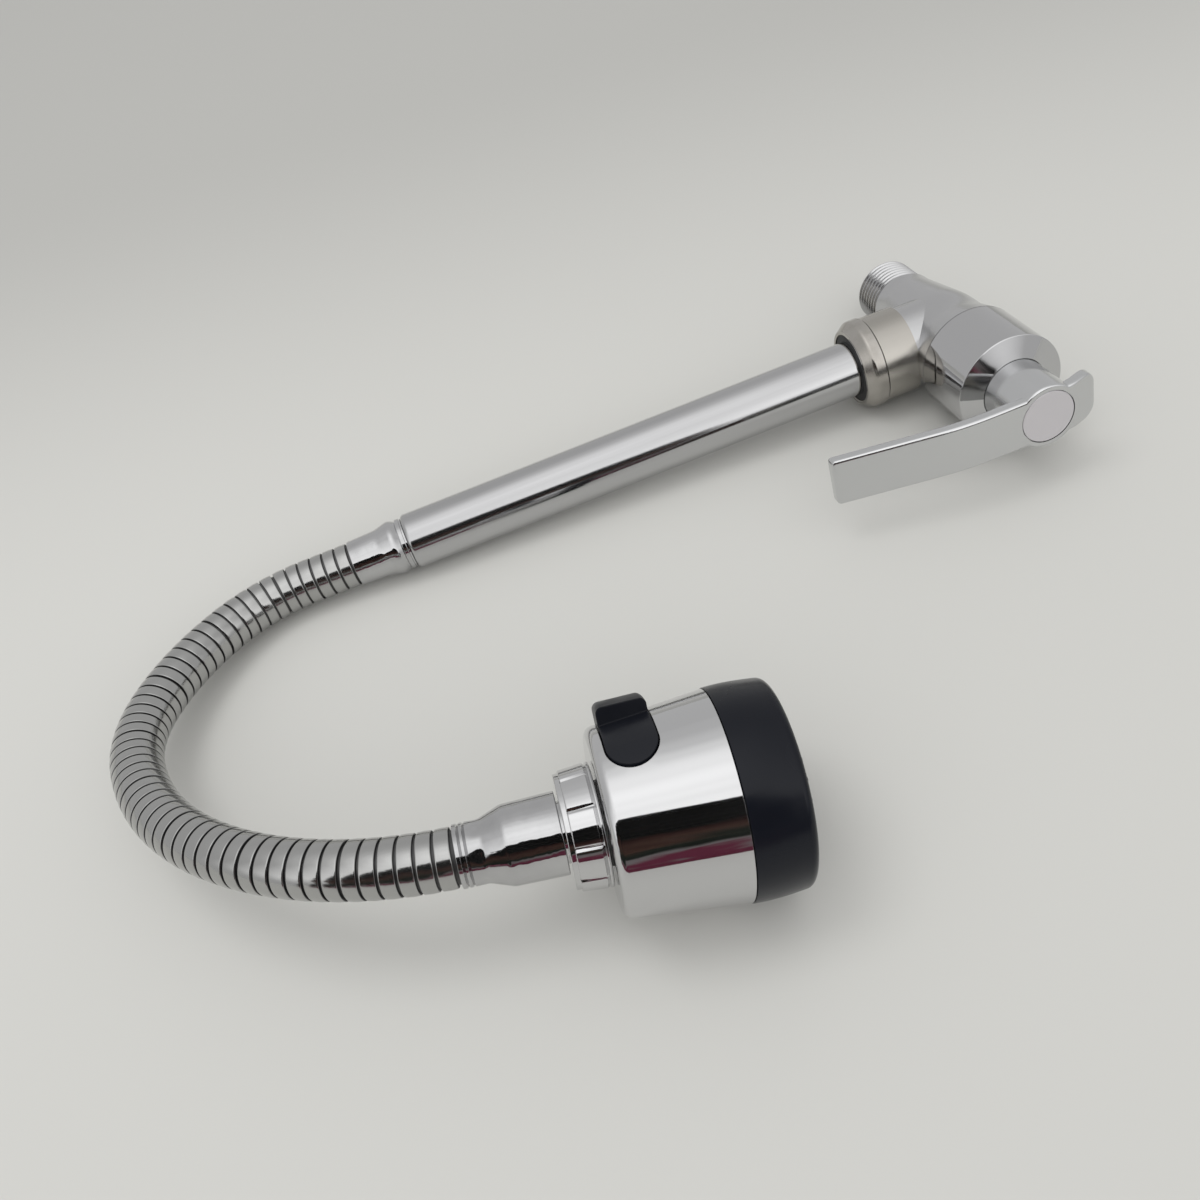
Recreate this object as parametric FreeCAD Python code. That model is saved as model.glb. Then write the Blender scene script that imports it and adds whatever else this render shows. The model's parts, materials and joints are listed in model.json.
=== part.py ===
import FreeCAD, Part
import math
import os

# Wall-mounted tap with a bendable spout and a two-way spray head, in millimetres.
# Z is up along the spout tube. Y is the body's axis and points into the wall.
# The origin is on the body's axis at the shoulder of the wall thread.

os.makedirs("parts", exist_ok=True)
Vec = FreeCAD.Vector
Z = Vec(0, 0, 1)

# Fits and gaps
run_clearance = 0.05
fit_clearance = 0.03
gap = 0.4
cut_margin = 1.0

# Wall connection, a G1/2 pipe thread shown as rings
thread_radius = 10.48
thread_depth = 1.16
thread_pitch = 1.814
thread_flat = 0.3
thread_length = 14.0
inlet_radius = 7.0

# Valve body
wall_to_spout = 25.0
wall_to_seam = 44.6
neck_radius = 11.1
neck_length = 2.5
neck_curve = 30.0
barrel_radius = 14.3
barrel_curve = 40.0
flare_start = 34.5
flare_curve = 30.0
chamber_radius = 9.95
chamber_depth = 31.6
outlet_radius = 6.5
boss_radius = 14.1
boss_foot = 14.4
boss_top = 25.3
boss_neck_radius = 13.3
collar_radius = 12.4
collar_top = 28.6

# Quarter-turn headwork
housing_window_radius = 4.5
housing_wall = 1.7
housing_collar_length = 6.0
housing_hex_length = 4.0
housing_neck_radius = 7.5
housing_neck_length = 7.0
gasket_thickness = 0.6
seal_thickness = 2.1
seal_bore_radius = 5.0
disc_thickness = 3.0
disc_port_inner_radius = 1.2
disc_port_outer_radius = 6.6
disc_port_edge_angle = 10.0
spindle_radius = 4.5
spindle_foot_radius = 5.2
spindle_foot_length = 2.7
tongue_width = 3.0
tongue_length = 9.0
tongue_depth = 1.0
spindle_ring_radius = 0.6
spindle_ring_spacing = 3.0
circlip_radius = 6.2
circlip_thickness = 0.8
circlip_opening = 3.0
circlip_depth = 0.7

# Bonnet cover
bonnet_seam = 0.3
bonnet_radius = 16.6
bonnet_edge = 0.4
bonnet_length = 22.6
bonnet_wall = 2.0
bonnet_cone_length = 2.4
bonnet_hole_radius = 10.3

# Lever handle and its fixing
hub_radius = 9.9
hub_front = 87.5
hub_inset = 1.2
arm_half_width = 7.6
arm_thickness = 3.5
arm_bend_height = 25.0
arm_bend_angle = 11.0
arm_bend_radius = 85.0
arm_tip_height = 63.0
arm_tip_corner = 1.2
tail_bend_height = 8.0
tail_bend_angle = 21.0
tail_bend_radius = 8.0
tail_length = 16.6
tail_corner = 3.0
cap_radius = 8.05
cap_thickness = 1.6
cap_edge = 0.25
cap_spigot_radius = 4.4
cap_spigot_length = 1.0
screw_radius = 2.0
screw_length = 8.5
screw_head_radius = 3.5
screw_head_height = 2.5
screw_recess_radius = 4.6
screw_drive_width = 2.5
screw_drive_floor = 1.0
socket_depth = 10.0
hub_web = 2.2

# Spout nut and the swivel of the spout tube
nut_radius = 14.6
nut_top = 32.2
nut_seam = 0.3
nut_edge = 0.3
nut_rim_width = 2.2
nut_rim_drop = 3.0
nut_rim_curve = 2.0
nut_mouth_radius = 11.3
nut_mouth_depth = 1.1
bush_drop = 0.3
tube_radius = 9.0
tube_wall = 1.4
tube_foot_height = 11.0
tube_foot_edge = 0.4
tube_top = 186.1
tube_shoulder = 1.4
tube_groove_spacing = 1.8
tube_groove_width = 0.4
tube_groove_depth = 0.3
tube_ring_radius = 0.42
tube_ring_heights = (14.0, 18.0)
retainer_radius = 11.6
retainer_thickness = 1.2
retainer_groove_depth = 0.6
retainer_opening = 3.0

# Ferrule between the tube and the hose
ferrule_plug_length = 10.0
ferrule_foot_radius = 7.9
ferrule_foot_edge = 0.3
ferrule_bulb_radius = 8.5
ferrule_bulb_rise = 7.1
ferrule_bulb_curve = 12.0
ferrule_neck_radius = 7.3
ferrule_neck_rise = 7.6
ferrule_neck_curve = 8.0
ferrule_neck_length = 3.7
ferrule_bore_radius = 4.7

# Hose: its route starts up the tube, bends over in one upright plane, then turns out of it
hose_radius = 7.1
hose_groove_radius = 6.3
hose_bore_radius = 4.8
hose_sections = 9
section_ribs = 6
rib_groove = 0.45
rib_edge = 0.25
joint_gap = 0.75
route_turn = 4.33
route_first_run = 33.4
route_bend_radii = (45.8, 71.3, 47.1, 87.3)
route_bend_angles = (37.7, 27.6, 35.0, 22.9)
route_last_radius = 87.6
head_direction = Vec(-0.156, -0.070, -0.985).normalize()
route_last_run = 60.4

# Ferrule on the spray head; places along the head's axis count from the shell's front seam
head_ferrule_start = -62.6
head_ferrule_radius = 7.4
head_flare_start = -56.5
head_flare_end = -51.1
head_flare_curve = 4.0
head_sleeve_radius = 9.4
head_sleeve_end = -38.4
head_sleeve_end_radius = 9.7
head_sleeve_edge = 0.3
head_ring_width = 1.3
head_ring_step = 0.35
swivel_radius = 7.2
swivel_flange_radius = 9.2
swivel_flange_thickness = 1.5
swivel_washer_thickness = 1.4

# Collar nut of the spray head
nut_panels = 10
panel_groove_width = 0.5
panel_groove_depth = 0.5
head_nut_rear = -37.9
head_nut_front = -29.3
head_nut_rear_radius = 13.8
head_nut_front_radius = 14.5
head_nut_lip = 2.0
head_nut_thread_radius = 10.0
head_nut_edge = 0.5

# Shell of the spray head
shell_rear = -28.9
shell_rear_radius = 22.0
shell_front_radius = 25.0
shell_rim_curve = 2.4
shell_wall = 1.6
shell_hole_radius = 10.2

# Core with the waterway
core_stub_radius = 9.95
core_neck_radius = 12.0
core_neck_end = -10.5
core_radius = 20.3
core_edge = 1.5
core_bore_radius = 5.5
core_cavity_start = -8.0
core_cavity_radius = 17.5
core_port_radius = 2.0
core_port_count = 4
core_ring_radius = 0.8

# Face ring, plate, nozzles and aerator
face_ring_start = 0.25
face_ring_end = 14.7
face_ring_rear_radius = 25.2
face_ring_belly = 4.7
face_ring_belly_radius = 25.4
face_ring_waist = 9.5
face_ring_waist_radius = 25.1
face_ring_front_radius = 24.6
face_ring_curve = 2.0
face_ring_plug_radius = 22.9
face_ring_plug_length = 3.0
plate_radius = 20.3
plate_thickness = 3.0
plate_proud = 0.7
plate_edge = 0.6
pad_thickness = 1.4
pad_radius = 19.8
nozzle_hole_radius = 0.8
nozzle_radius = 0.72
nozzle_proud = 0.6
nozzle_row_radii = (11.0, 14.0, 17.0)
nozzle_row_counts = (12, 18, 24)
aerator_radius = 6.4
aerator_length = 6.0
aerator_hole_radius = 0.55
aerator_hole_spacing = 1.9
aerator_rim = 0.5
aerator_ring_radius = 8.4
aerator_ring_proud = 0.6
aerator_ring_edge = 0.4
aerator_ring_inner_edge = 0.2

# Selector tab, its skirt under the shell and the diverter sleeve
tab_first_angle = -45.0
tab_last_angle = 14.0
tab_travel = 24.0
tab_rear = -25.6
tab_front = -13.8
tab_gap = 0.35
tab_proud = 0.5
block_last_angle = -24.0
block_proud = 4.9
block_front_drop = 1.0
block_curve = 1.6
skirt_thickness = 1.2
skirt_edge = 1.1
skirt_overlap = 3.0
web_angle = 16.0
web_middle_angle = -16.0
web_inset = 2.0
sleeve_wall = 2.2
sleeve_length = 14.6


def corner_arc(before, corner, after, radius):
    """The tangent arc of that radius at a corner, as its start, middle and end."""
    back = (before - corner).normalize()
    on = (after - corner).normalize()
    half_angle = back.getAngle(on) / 2
    reach = radius / math.tan(half_angle)
    centre = corner + (back + on).normalize() * (radius / math.sin(half_angle))
    middle = centre + (corner - centre).normalize() * radius
    return corner + back * reach, middle, corner + on * reach


def closed_wire(points):
    """A closed wire through (x, y) points; a third value rounds that corner."""
    corners = [Vec(p[0], p[1], 0) for p in points]
    count = len(points)
    ends = []
    for i, point in enumerate(points):
        radius = point[2] if len(point) > 2 else 0
        if radius:
            ends.append(corner_arc(corners[i - 1], corners[i], corners[(i + 1) % count], radius))
        else:
            ends.append((corners[i], None, corners[i]))
    edges = []
    for i, (start, middle, end) in enumerate(ends):
        if middle is not None:
            edges.append(Part.Arc(start, middle, end).toShape())
        next_start = ends[(i + 1) % count][0]
        if end.distanceToPoint(next_start) > 1e-6:
            edges.append(Part.LineSegment(end, next_start).toShape())
    return Part.Wire(edges)


def hexagon(radius):
    """A closed six-sided wire, to its corners that radius."""
    angles = [math.radians(60 * i) for i in range(6)]
    return closed_wire([(radius * math.cos(angle), radius * math.sin(angle)) for angle in angles])


def turned(points, angle=360):
    """A solid of revolution about Z from (radius, height) points."""
    face = Part.Face(closed_wire(points))
    face.rotate(Vec(0, 0, 0), Vec(1, 0, 0), 90)
    return face.revolve(Vec(0, 0, 0), Z, angle)


def turned_sector(points, first_angle, last_angle):
    """A part of a solid of revolution, between two angles about Z."""
    solid = turned(points, last_angle - first_angle)
    solid.rotate(Vec(0, 0, 0), Z, first_angle)
    return solid


def tube(outer, inner, low, high):
    """A plain ring about Z."""
    return turned([(inner, low), (outer, low), (outer, high), (inner, high)])


def rod(radius, low, high, x=0, y=0):
    """A cylinder along Z."""
    return Part.makeCylinder(radius, high - low, Vec(x, y, low))


def o_ring(centre_radius, section_radius, height):
    """A round-section ring about Z."""
    return Part.makeTorus(centre_radius, section_radius, Vec(0, 0, height), Z)


def around(shape, count):
    """Copies of a shape spread evenly about Z."""
    copies = []
    for i in range(count):
        copy = shape.copy()
        copy.rotate(Vec(0, 0, 0), Z, 360 * i / count)
        copies.append(copy)
    return copies


def placed(shape, origin, x_axis, z_axis):
    """The shape moved from the plain axes to a frame given by its origin, X and Z."""
    y_axis = z_axis.cross(x_axis)
    matrix = FreeCAD.Matrix(
        x_axis.x, y_axis.x, z_axis.x, origin.x,
        x_axis.y, y_axis.y, z_axis.y, origin.y,
        x_axis.z, y_axis.z, z_axis.z, origin.z,
        0, 0, 0, 1,
    )
    moved = shape.copy()
    moved.Placement = FreeCAD.Placement(matrix).multiply(moved.Placement)
    return moved


def on_body_axis(shape):
    """From the turning frame to the body's axis: height counts from the wall into the room."""
    return placed(shape, Vec(0, 0, 0), Vec(1, 0, 0), Vec(0, -1, 0))


def on_spout_axis(shape):
    """From the turning frame to the spout's axis: height counts up from the body's axis."""
    return placed(shape, Vec(0, -wall_to_spout, 0), Vec(1, 0, 0), Z)


def save(name, shape):
    """Writes one piece and stops the script if it isn't sound."""
    solids = shape.Solids
    if not solids or not shape.isValid():
        raise ValueError(name + " is not a valid solid")
    result = solids[0] if len(solids) == 1 else Part.makeCompound(solids)
    result.exportStep("parts/" + name + ".step")


# Places along the body's axis, counted from the wall into the room
chamber_end = wall_to_seam - chamber_depth
seal_end = chamber_end + seal_thickness
disc_face = seal_end + disc_thickness
foot_start = disc_face + fit_clearance + disc_thickness
housing_radius = chamber_radius - fit_clearance
housing_bore_radius = housing_radius - housing_wall
collar_start = wall_to_seam + gasket_thickness
hex_start = collar_start + housing_collar_length
hex_end = hex_start + housing_hex_length
housing_end = hex_end + housing_neck_length
bonnet_start = wall_to_seam + bonnet_seam
bonnet_end = wall_to_seam + bonnet_length
hub_rear = bonnet_end + bonnet_cone_length - hub_inset
cap_seat = hub_front - cap_thickness
socket_end = hub_rear + socket_depth
web_front = socket_end + hub_web


def thread_outline():
    """The wall thread: a plain land at its shoulder, then rings with the last crest at its end."""
    root = thread_radius - thread_depth
    flank = (thread_pitch - 2 * thread_flat) / 2
    rings = math.floor(thread_length / thread_pitch)
    points = [(thread_radius, 0)]
    for ring in range(rings, 0, -1):
        start = thread_pitch * ring - thread_length
        points.append((thread_radius, start))
        points.append((root, start - flank))
        points.append((root, start - flank - thread_flat))
        points.append((thread_radius, start - 2 * flank - thread_flat))
    points.append((thread_radius, -thread_length))
    return points


def valve_body():
    barrel = turned([
        (0, -thread_flat),
        (neck_radius, 0, 0),
        (neck_radius, neck_length, neck_curve),
        (barrel_radius, wall_to_spout, barrel_curve),
        (barrel_radius, flare_start, flare_curve),
        (bonnet_radius, wall_to_seam),
        (0, wall_to_seam),
    ])
    thread = turned([(0, thread_flat)] + thread_outline() + [(0, -thread_length)])
    shape = on_body_axis(barrel.fuse(thread))
    boss = turned([
        (0, 0),
        (boss_neck_radius, 0),
        (boss_neck_radius, boss_foot),
        (boss_radius, boss_foot),
        (boss_radius, boss_top),
        (collar_radius, boss_top),
        (collar_radius, collar_top),
        (0, collar_top),
    ])
    shape = shape.fuse(on_spout_axis(boss))
    inlet = rod(inlet_radius, -thread_length, chamber_end)
    chamber = rod(chamber_radius, chamber_end, wall_to_seam)
    outlet = rod(outlet_radius, 0, tube_foot_height)
    socket = rod(tube_radius + run_clearance, tube_foot_height - gap, collar_top)
    cuts = [on_body_axis(inlet), on_body_axis(chamber), on_spout_axis(outlet), on_spout_axis(socket)]
    return shape.cut(cuts)


def disc_ports(height, thickness):
    """Two quarter-round water ports through a ceramic disc."""
    outline = [
        (disc_port_inner_radius, height),
        (disc_port_outer_radius, height),
        (disc_port_outer_radius, height + thickness),
        (disc_port_inner_radius, height + thickness),
    ]
    return around(turned_sector(outline, disc_port_edge_angle, 90 - disc_port_edge_angle), 2)


def fixed_disc():
    radius = housing_bore_radius - fit_clearance
    return on_body_axis(rod(radius, seal_end, disc_face).cut(disc_ports(seal_end, disc_thickness)))


def tongue(clearance):
    """The driving bar between the spindle's foot and the moving disc."""
    width = tongue_width + 2 * clearance
    length = tongue_length + 2 * clearance
    depth = tongue_depth + clearance
    return Part.makeBox(length, width, depth, Vec(-length / 2, -width / 2, foot_start - depth))


def moving_disc():
    radius = housing_bore_radius - run_clearance
    start = disc_face + fit_clearance
    disc = rod(radius, start, foot_start).cut(disc_ports(start, disc_thickness))
    return on_body_axis(disc.cut(tongue(fit_clearance)))


def headwork_housing():
    collar = bonnet_inner_radius() - fit_clearance
    bore = spindle_radius + run_clearance
    shape = turned([
        (housing_bore_radius, seal_end),
        (housing_radius, seal_end),
        (housing_radius, collar_start),
        (collar, collar_start),
        (collar, hex_start),
        (housing_neck_radius, hex_start),
        (housing_neck_radius, housing_end),
        (bore, housing_end),
        (bore, wall_to_seam),
        (housing_bore_radius, wall_to_seam),
    ])
    prism = Part.Face(hexagon(collar)).extrude(Vec(0, 0, housing_hex_length))
    prism.translate(Vec(0, 0, hex_start))
    shape = shape.fuse(prism.cut(rod(bore, hex_start, hex_end)))
    shape = on_body_axis(shape)
    window = rod(housing_window_radius, -chamber_radius, chamber_radius)
    window.translate(Vec(0, -foot_start - spindle_foot_length - housing_window_radius / 2, 0))
    return shape.cut(window)


def spindle_groove_heights():
    """The places of the two spindle O-rings."""
    first = hex_end
    return (first, first + spindle_ring_spacing)


def spindle():
    groove_radius = spindle_radius - 2 * spindle_ring_radius
    clip_start = housing_end + fit_clearance
    foot = rod(spindle_foot_radius, foot_start, foot_start + spindle_foot_length)
    shaft = rod(spindle_radius, foot_start, socket_end - gap)
    cuts = [rod(screw_radius, web_front - screw_length, socket_end)]
    for height in spindle_groove_heights():
        half = spindle_ring_radius + fit_clearance
        cuts.append(tube(spindle_radius + cut_margin, groove_radius, height - half, height + half))
    clip_groove = tube(spindle_radius + cut_margin, spindle_radius - circlip_depth,
                       clip_start, clip_start + circlip_thickness)
    cuts.append(clip_groove)
    return on_body_axis(shaft.fuse([foot, tongue(0)]).cut(cuts))


def spindle_o_rings():
    centre = spindle_radius - spindle_ring_radius
    rings = [o_ring(centre, spindle_ring_radius, height) for height in spindle_groove_heights()]
    return on_body_axis(Part.makeCompound(rings))


def spindle_circlip():
    start = housing_end + fit_clearance
    inner = spindle_radius - circlip_depth
    ring = tube(circlip_radius, inner, start, start + circlip_thickness)
    corner = Vec(0, -circlip_opening / 2, start)
    slot = Part.makeBox(circlip_radius, circlip_opening, circlip_thickness, corner)
    return on_body_axis(ring.cut(slot))


def bonnet_inner_radius():
    """The thread between the bonnet and the headwork."""
    return bonnet_radius - bonnet_wall


def bonnet_cover():
    inner = bonnet_inner_radius()
    points = [
        (inner, bonnet_start),
        (bonnet_radius, bonnet_start, bonnet_edge),
        (bonnet_radius, bonnet_end),
        (bonnet_hole_radius, bonnet_end + bonnet_cone_length),
        (bonnet_hole_radius, bonnet_end + bonnet_cone_length - bonnet_wall),
        (inner, bonnet_end - bonnet_wall),
    ]
    return on_body_axis(turned(points))


def arm_strip():
    """The bent strip of the lever's arm and tail, cut square at both ends."""
    rise = math.radians(arm_bend_angle)
    fall = math.radians(tail_bend_angle)
    end = arm_tip_height + arm_thickness
    low = -tail_length - arm_thickness

    def side(depth):
        """One face of the strip, as (height, place) corners, that far behind the front."""
        place = hub_front - depth
        top = arm_bend_height - depth * math.tan(rise / 2)
        bottom = -tail_bend_height + depth * math.tan(fall / 2)
        return [
            (low, place - (bottom - low) * math.tan(fall)),
            (bottom, place, tail_bend_radius + arm_thickness - depth),
            (top, place, arm_bend_radius + arm_thickness - depth),
            (end, place - (end - top) * math.tan(rise)),
        ]

    wire = closed_wire(side(0) + side(arm_thickness)[::-1])
    strip = Part.Face(wire).extrude(Vec(0, 0, 2 * arm_half_width))
    return placed(strip, Vec(-arm_half_width, 0, 0), Z, Vec(1, 0, 0))


def lever_handle():
    blank = Part.Face(closed_wire([
        (-arm_half_width, -tail_length, tail_corner),
        (arm_half_width, -tail_length, tail_corner),
        (arm_half_width, arm_tip_height, arm_tip_corner),
        (-arm_half_width, arm_tip_height, arm_tip_corner),
    ])).extrude(Vec(0, 0, 2 * hub_front))
    arm = arm_strip().common(on_body_axis(blank))
    hub = on_body_axis(rod(hub_radius, hub_rear, hub_front))
    cuts = [
        rod(cap_radius + fit_clearance, cap_seat, hub_front),
        rod(screw_recess_radius, web_front, hub_front),
        rod(screw_radius + fit_clearance, socket_end, web_front),
        rod(spindle_radius + fit_clearance, hub_rear, socket_end),
    ]
    return hub.fuse(arm).cut([on_body_axis(cut) for cut in cuts])


def index_cap():
    cap = turned([
        (0, cap_seat - cap_spigot_length),
        (cap_spigot_radius, cap_seat - cap_spigot_length),
        (cap_spigot_radius, cap_seat),
        (cap_radius, cap_seat),
        (cap_radius, hub_front, cap_edge),
        (0, hub_front),
    ])
    return on_body_axis(cap)


def handle_screw():
    head = rod(screw_head_radius, web_front, web_front + screw_head_height)
    shank = rod(screw_radius - fit_clearance, web_front - screw_length, web_front)
    drive = Part.Face(hexagon(screw_drive_width / math.sqrt(3))).extrude(Vec(0, 0, screw_head_height))
    drive.translate(Vec(0, 0, web_front + screw_drive_floor))
    return on_body_axis(head.fuse(shank).cut(drive))


# Places on the spout's axis, counted up from the body's axis
nut_foot = boss_top + nut_seam
retainer_low = collar_top + gap / 2
shoulder_height = retainer_low + retainer_thickness + gap / 2
mouth_floor = nut_top - nut_mouth_depth
bush_radius = nut_mouth_radius - gap / 2


def spout_nut():
    thread = collar_radius + fit_clearance
    seat = retainer_radius + gap
    lip = tube_radius + gap
    points = [
        (thread, nut_foot),
        (nut_radius, nut_foot, nut_edge),
        (nut_radius, nut_top - nut_rim_drop, nut_rim_curve),
        (nut_radius - nut_rim_width, nut_top, nut_edge),
        (nut_mouth_radius, nut_top),
        (nut_mouth_radius, mouth_floor),
        (lip, mouth_floor),
        (lip, shoulder_height),
        (seat, shoulder_height),
        (seat, collar_top + fit_clearance),
        (thread, collar_top + fit_clearance),
    ]
    return on_spout_axis(turned(points))


def tube_bush():
    inner = tube_radius + run_clearance
    height = nut_top - bush_drop
    points = [(inner, mouth_floor), (bush_radius, mouth_floor), (bush_radius, height), (inner, height)]
    return on_spout_axis(turned(points))


def spout_tube():
    inner = tube_radius - tube_wall
    points = [
        (inner, tube_foot_height),
        (tube_radius, tube_foot_height, tube_foot_edge),
        (tube_radius, tube_top, tube_shoulder),
        (inner, tube_top),
    ]
    cuts = []
    outside = tube_radius + cut_margin
    for height in tube_ring_heights:
        half = tube_ring_radius + fit_clearance
        cuts.append(tube(outside, tube_radius - 2 * tube_ring_radius, height - half, height + half))
    low = retainer_low - fit_clearance
    high = retainer_low + retainer_thickness + fit_clearance
    cuts.append(tube(outside, tube_radius - retainer_groove_depth, low, high))
    for i in (1, 2):
        height = tube_top - tube_shoulder - tube_groove_spacing * i
        cuts.append(tube(outside, tube_radius - tube_groove_depth, height, height + tube_groove_width))
    return on_spout_axis(turned(points).cut(cuts))


def tube_o_rings():
    centre = tube_radius - tube_ring_radius
    rings = [o_ring(centre, tube_ring_radius, height) for height in tube_ring_heights]
    return on_spout_axis(Part.makeCompound(rings))


def tube_retainer():
    inner = tube_radius - retainer_groove_depth
    ring = tube(retainer_radius, inner, retainer_low, retainer_low + retainer_thickness)
    corner = Vec(0, -retainer_opening / 2, retainer_low)
    slot = Part.makeBox(retainer_radius, retainer_opening, retainer_thickness, corner)
    return on_spout_axis(ring.cut(slot))


# The ferrule stands on the tube's end, and the hose starts where it ends
ferrule_bulb_height = tube_top + ferrule_bulb_rise
ferrule_neck_height = ferrule_bulb_height + ferrule_neck_rise
ferrule_top = ferrule_neck_height + ferrule_neck_length


def upper_ferrule():
    plug = tube_radius - tube_wall - fit_clearance
    points = [
        (ferrule_bore_radius, tube_top - ferrule_plug_length),
        (plug, tube_top - ferrule_plug_length),
        (plug, tube_top),
        (ferrule_foot_radius, tube_top, ferrule_foot_edge),
        (ferrule_bulb_radius, ferrule_bulb_height, ferrule_bulb_curve),
        (ferrule_neck_radius, ferrule_neck_height, ferrule_neck_curve),
        (ferrule_neck_radius, ferrule_top),
        (ferrule_bore_radius, ferrule_top),
    ]
    return on_spout_axis(turned(points))


class Route:
    """The hose's centre line: straight runs and tangent arcs, with a steady side direction."""

    def __init__(self):
        turn = math.radians(route_turn)
        self.pieces = []
        self.length = 0.0
        self.at = Vec(0, -wall_to_spout, tube_top)
        self.along = Vec(0, 0, 1)
        self.inward = Vec(math.sin(turn), -math.cos(turn), 0)
        self.run(route_first_run)
        for radius, angle in zip(route_bend_radii, route_bend_angles):
            self.bend(radius, math.radians(angle))
        self.inward = (head_direction - self.along * head_direction.dot(self.along)).normalize()
        self.bend(route_last_radius, self.along.getAngle(head_direction))
        self.run(route_last_run)

    def run(self, length):
        self.pieces.append((self.length, length, None, self.at, self.along, self.inward))
        self.at = self.at + self.along * length
        self.length += length

    def bend(self, radius, angle):
        self.pieces.append((self.length, radius * angle, radius, self.at, self.along, self.inward))
        self.length += radius * angle
        self.at, self.along, self.inward = self.on_arc(radius, angle, self.at, self.along, self.inward)

    def on_arc(self, radius, angle, at, along, inward):
        """The place, direction and inward direction after turning by an angle."""
        sine = math.sin(angle)
        cosine = math.cos(angle)
        place = at + along * (radius * sine) + inward * (radius * (1 - cosine))
        return place, along * cosine + inward * sine, inward * cosine - along * sine

    def station(self, distance):
        """The place, direction and inward direction at a distance along the route."""
        for start, length, radius, at, along, inward in self.pieces:
            if distance <= start + length + 1e-9:
                break
        done = distance - start
        if radius is None:
            return at + along * done, along, inward
        return self.on_arc(radius, done / radius, at, along, inward)

    def side(self, distance):
        """The hinge direction at a distance: square to the route and to its inward direction."""
        place, along, inward = self.station(distance)
        return along.cross(inward).normalize()


route = Route()
hose_start = ferrule_top - tube_top
hose_end = route.length + head_ferrule_start
section_pitch = (hose_end - hose_start - joint_gap) / hose_sections
section_length = section_pitch - joint_gap
steady_side = route.side(0)


def section_start(number):
    """The distance along the route where a section, counted from 0, begins."""
    return hose_start + joint_gap + section_pitch * number


def route_circle(radius, distance):
    """A circle square to the route, its X axis held steady by the bends' common plane."""
    place, along, inward = route.station(distance)
    x_axis = (steady_side - along * steady_side.dot(along)).normalize()
    circle = Part.Wire(Part.makeCircle(radius))
    return placed(circle, place, x_axis, along)


def hose_section(number):
    """One rigid length of the hose with its ribs and bore."""
    start = section_start(number)
    pitch = (section_length + rib_groove) / section_ribs
    circles = []
    for rib in range(section_ribs):
        low = start + pitch * rib
        high = low + pitch - rib_groove
        circles.append(route_circle(hose_groove_radius, low))
        circles.append(route_circle(hose_radius, low + rib_edge))
        circles.append(route_circle(hose_radius, high - rib_edge))
        circles.append(route_circle(hose_groove_radius, high))
    outer = Part.makeLoft(circles, True, True)
    bore = [route_circle(hose_bore_radius, start + section_length * i / section_ribs)
            for i in range(section_ribs + 1)]
    bore[0] = route_circle(hose_bore_radius, start - joint_gap / 2)
    bore[-1] = route_circle(hose_bore_radius, start + section_length + joint_gap / 2)
    return outer.cut(Part.makeLoft(bore, True, True))


# The spray head's frame: Z along its axis towards the outlet, X as level as it goes
head_origin = route.at
head_x = head_direction.cross(Vec(0, 1, 0)).normalize()


def on_head_axis(shape):
    """From the turning frame to the spray head's axis: height counts from the shell's front seam."""
    return placed(shape, head_origin, head_x, head_direction)


# Places along the head's axis
swivel_lip_end = head_nut_rear + head_nut_lip
flange_start = swivel_lip_end + gap
flange_end = flange_start + swivel_flange_thickness
washer_end = flange_end + swivel_washer_thickness
core_start = washer_end + run_clearance
shell_floor = shell_rear + shell_wall
plate_front = face_ring_end + plate_proud
plate_rear = plate_front - plate_thickness
pad_rear = plate_rear - pad_thickness
core_front = pad_rear - gap
aerator_rear = plate_front - aerator_length
sleeve_radius = core_neck_radius + run_clearance + sleeve_wall


def head_ferrule():
    step = head_ferrule_radius - head_ring_step
    first = head_ferrule_start + head_ring_width
    second = first + head_ring_width
    points = [
        (hose_bore_radius, head_ferrule_start),
        (head_ferrule_radius, head_ferrule_start),
        (head_ferrule_radius, first - head_ring_step),
        (step, first),
        (head_ferrule_radius, first + head_ring_step),
        (head_ferrule_radius, second - head_ring_step),
        (step, second),
        (head_ferrule_radius, second + head_ring_step),
        (head_ferrule_radius, head_flare_start, head_flare_curve),
        (head_sleeve_radius, head_flare_end, head_flare_curve),
        (head_sleeve_end_radius, head_sleeve_end, head_sleeve_edge),
        (swivel_radius, head_sleeve_end),
        (swivel_radius, flange_start),
        (swivel_flange_radius, flange_start),
        (swivel_flange_radius, flange_end),
        (hose_bore_radius, flange_end),
    ]
    return on_head_axis(turned(points))


def swivel_washer():
    return on_head_axis(tube(swivel_flange_radius, core_bore_radius, flange_end, washer_end))


def collar_nut():
    points = [
        (swivel_radius + run_clearance, head_nut_rear),
        (head_nut_rear_radius, head_nut_rear, head_nut_edge),
        (head_nut_front_radius, head_nut_front, head_nut_edge),
        (head_nut_thread_radius, head_nut_front),
        (head_nut_thread_radius, swivel_lip_end),
        (swivel_radius + run_clearance, swivel_lip_end),
    ]
    length = head_nut_front - head_nut_rear - 2 * head_nut_edge
    floor = head_nut_rear_radius - panel_groove_depth
    corner = Vec(floor, -panel_groove_width / 2, head_nut_rear + head_nut_edge)
    groove = Part.makeBox(head_nut_front_radius, panel_groove_width, length, corner)
    return on_head_axis(turned(points).cut(around(groove, nut_panels)))


def shell_radius(height):
    """The shell's outer radius at a place along the head's axis."""
    share = (height - shell_rear) / -shell_rear
    return shell_rear_radius + (shell_front_radius - shell_rear_radius) * share


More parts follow.
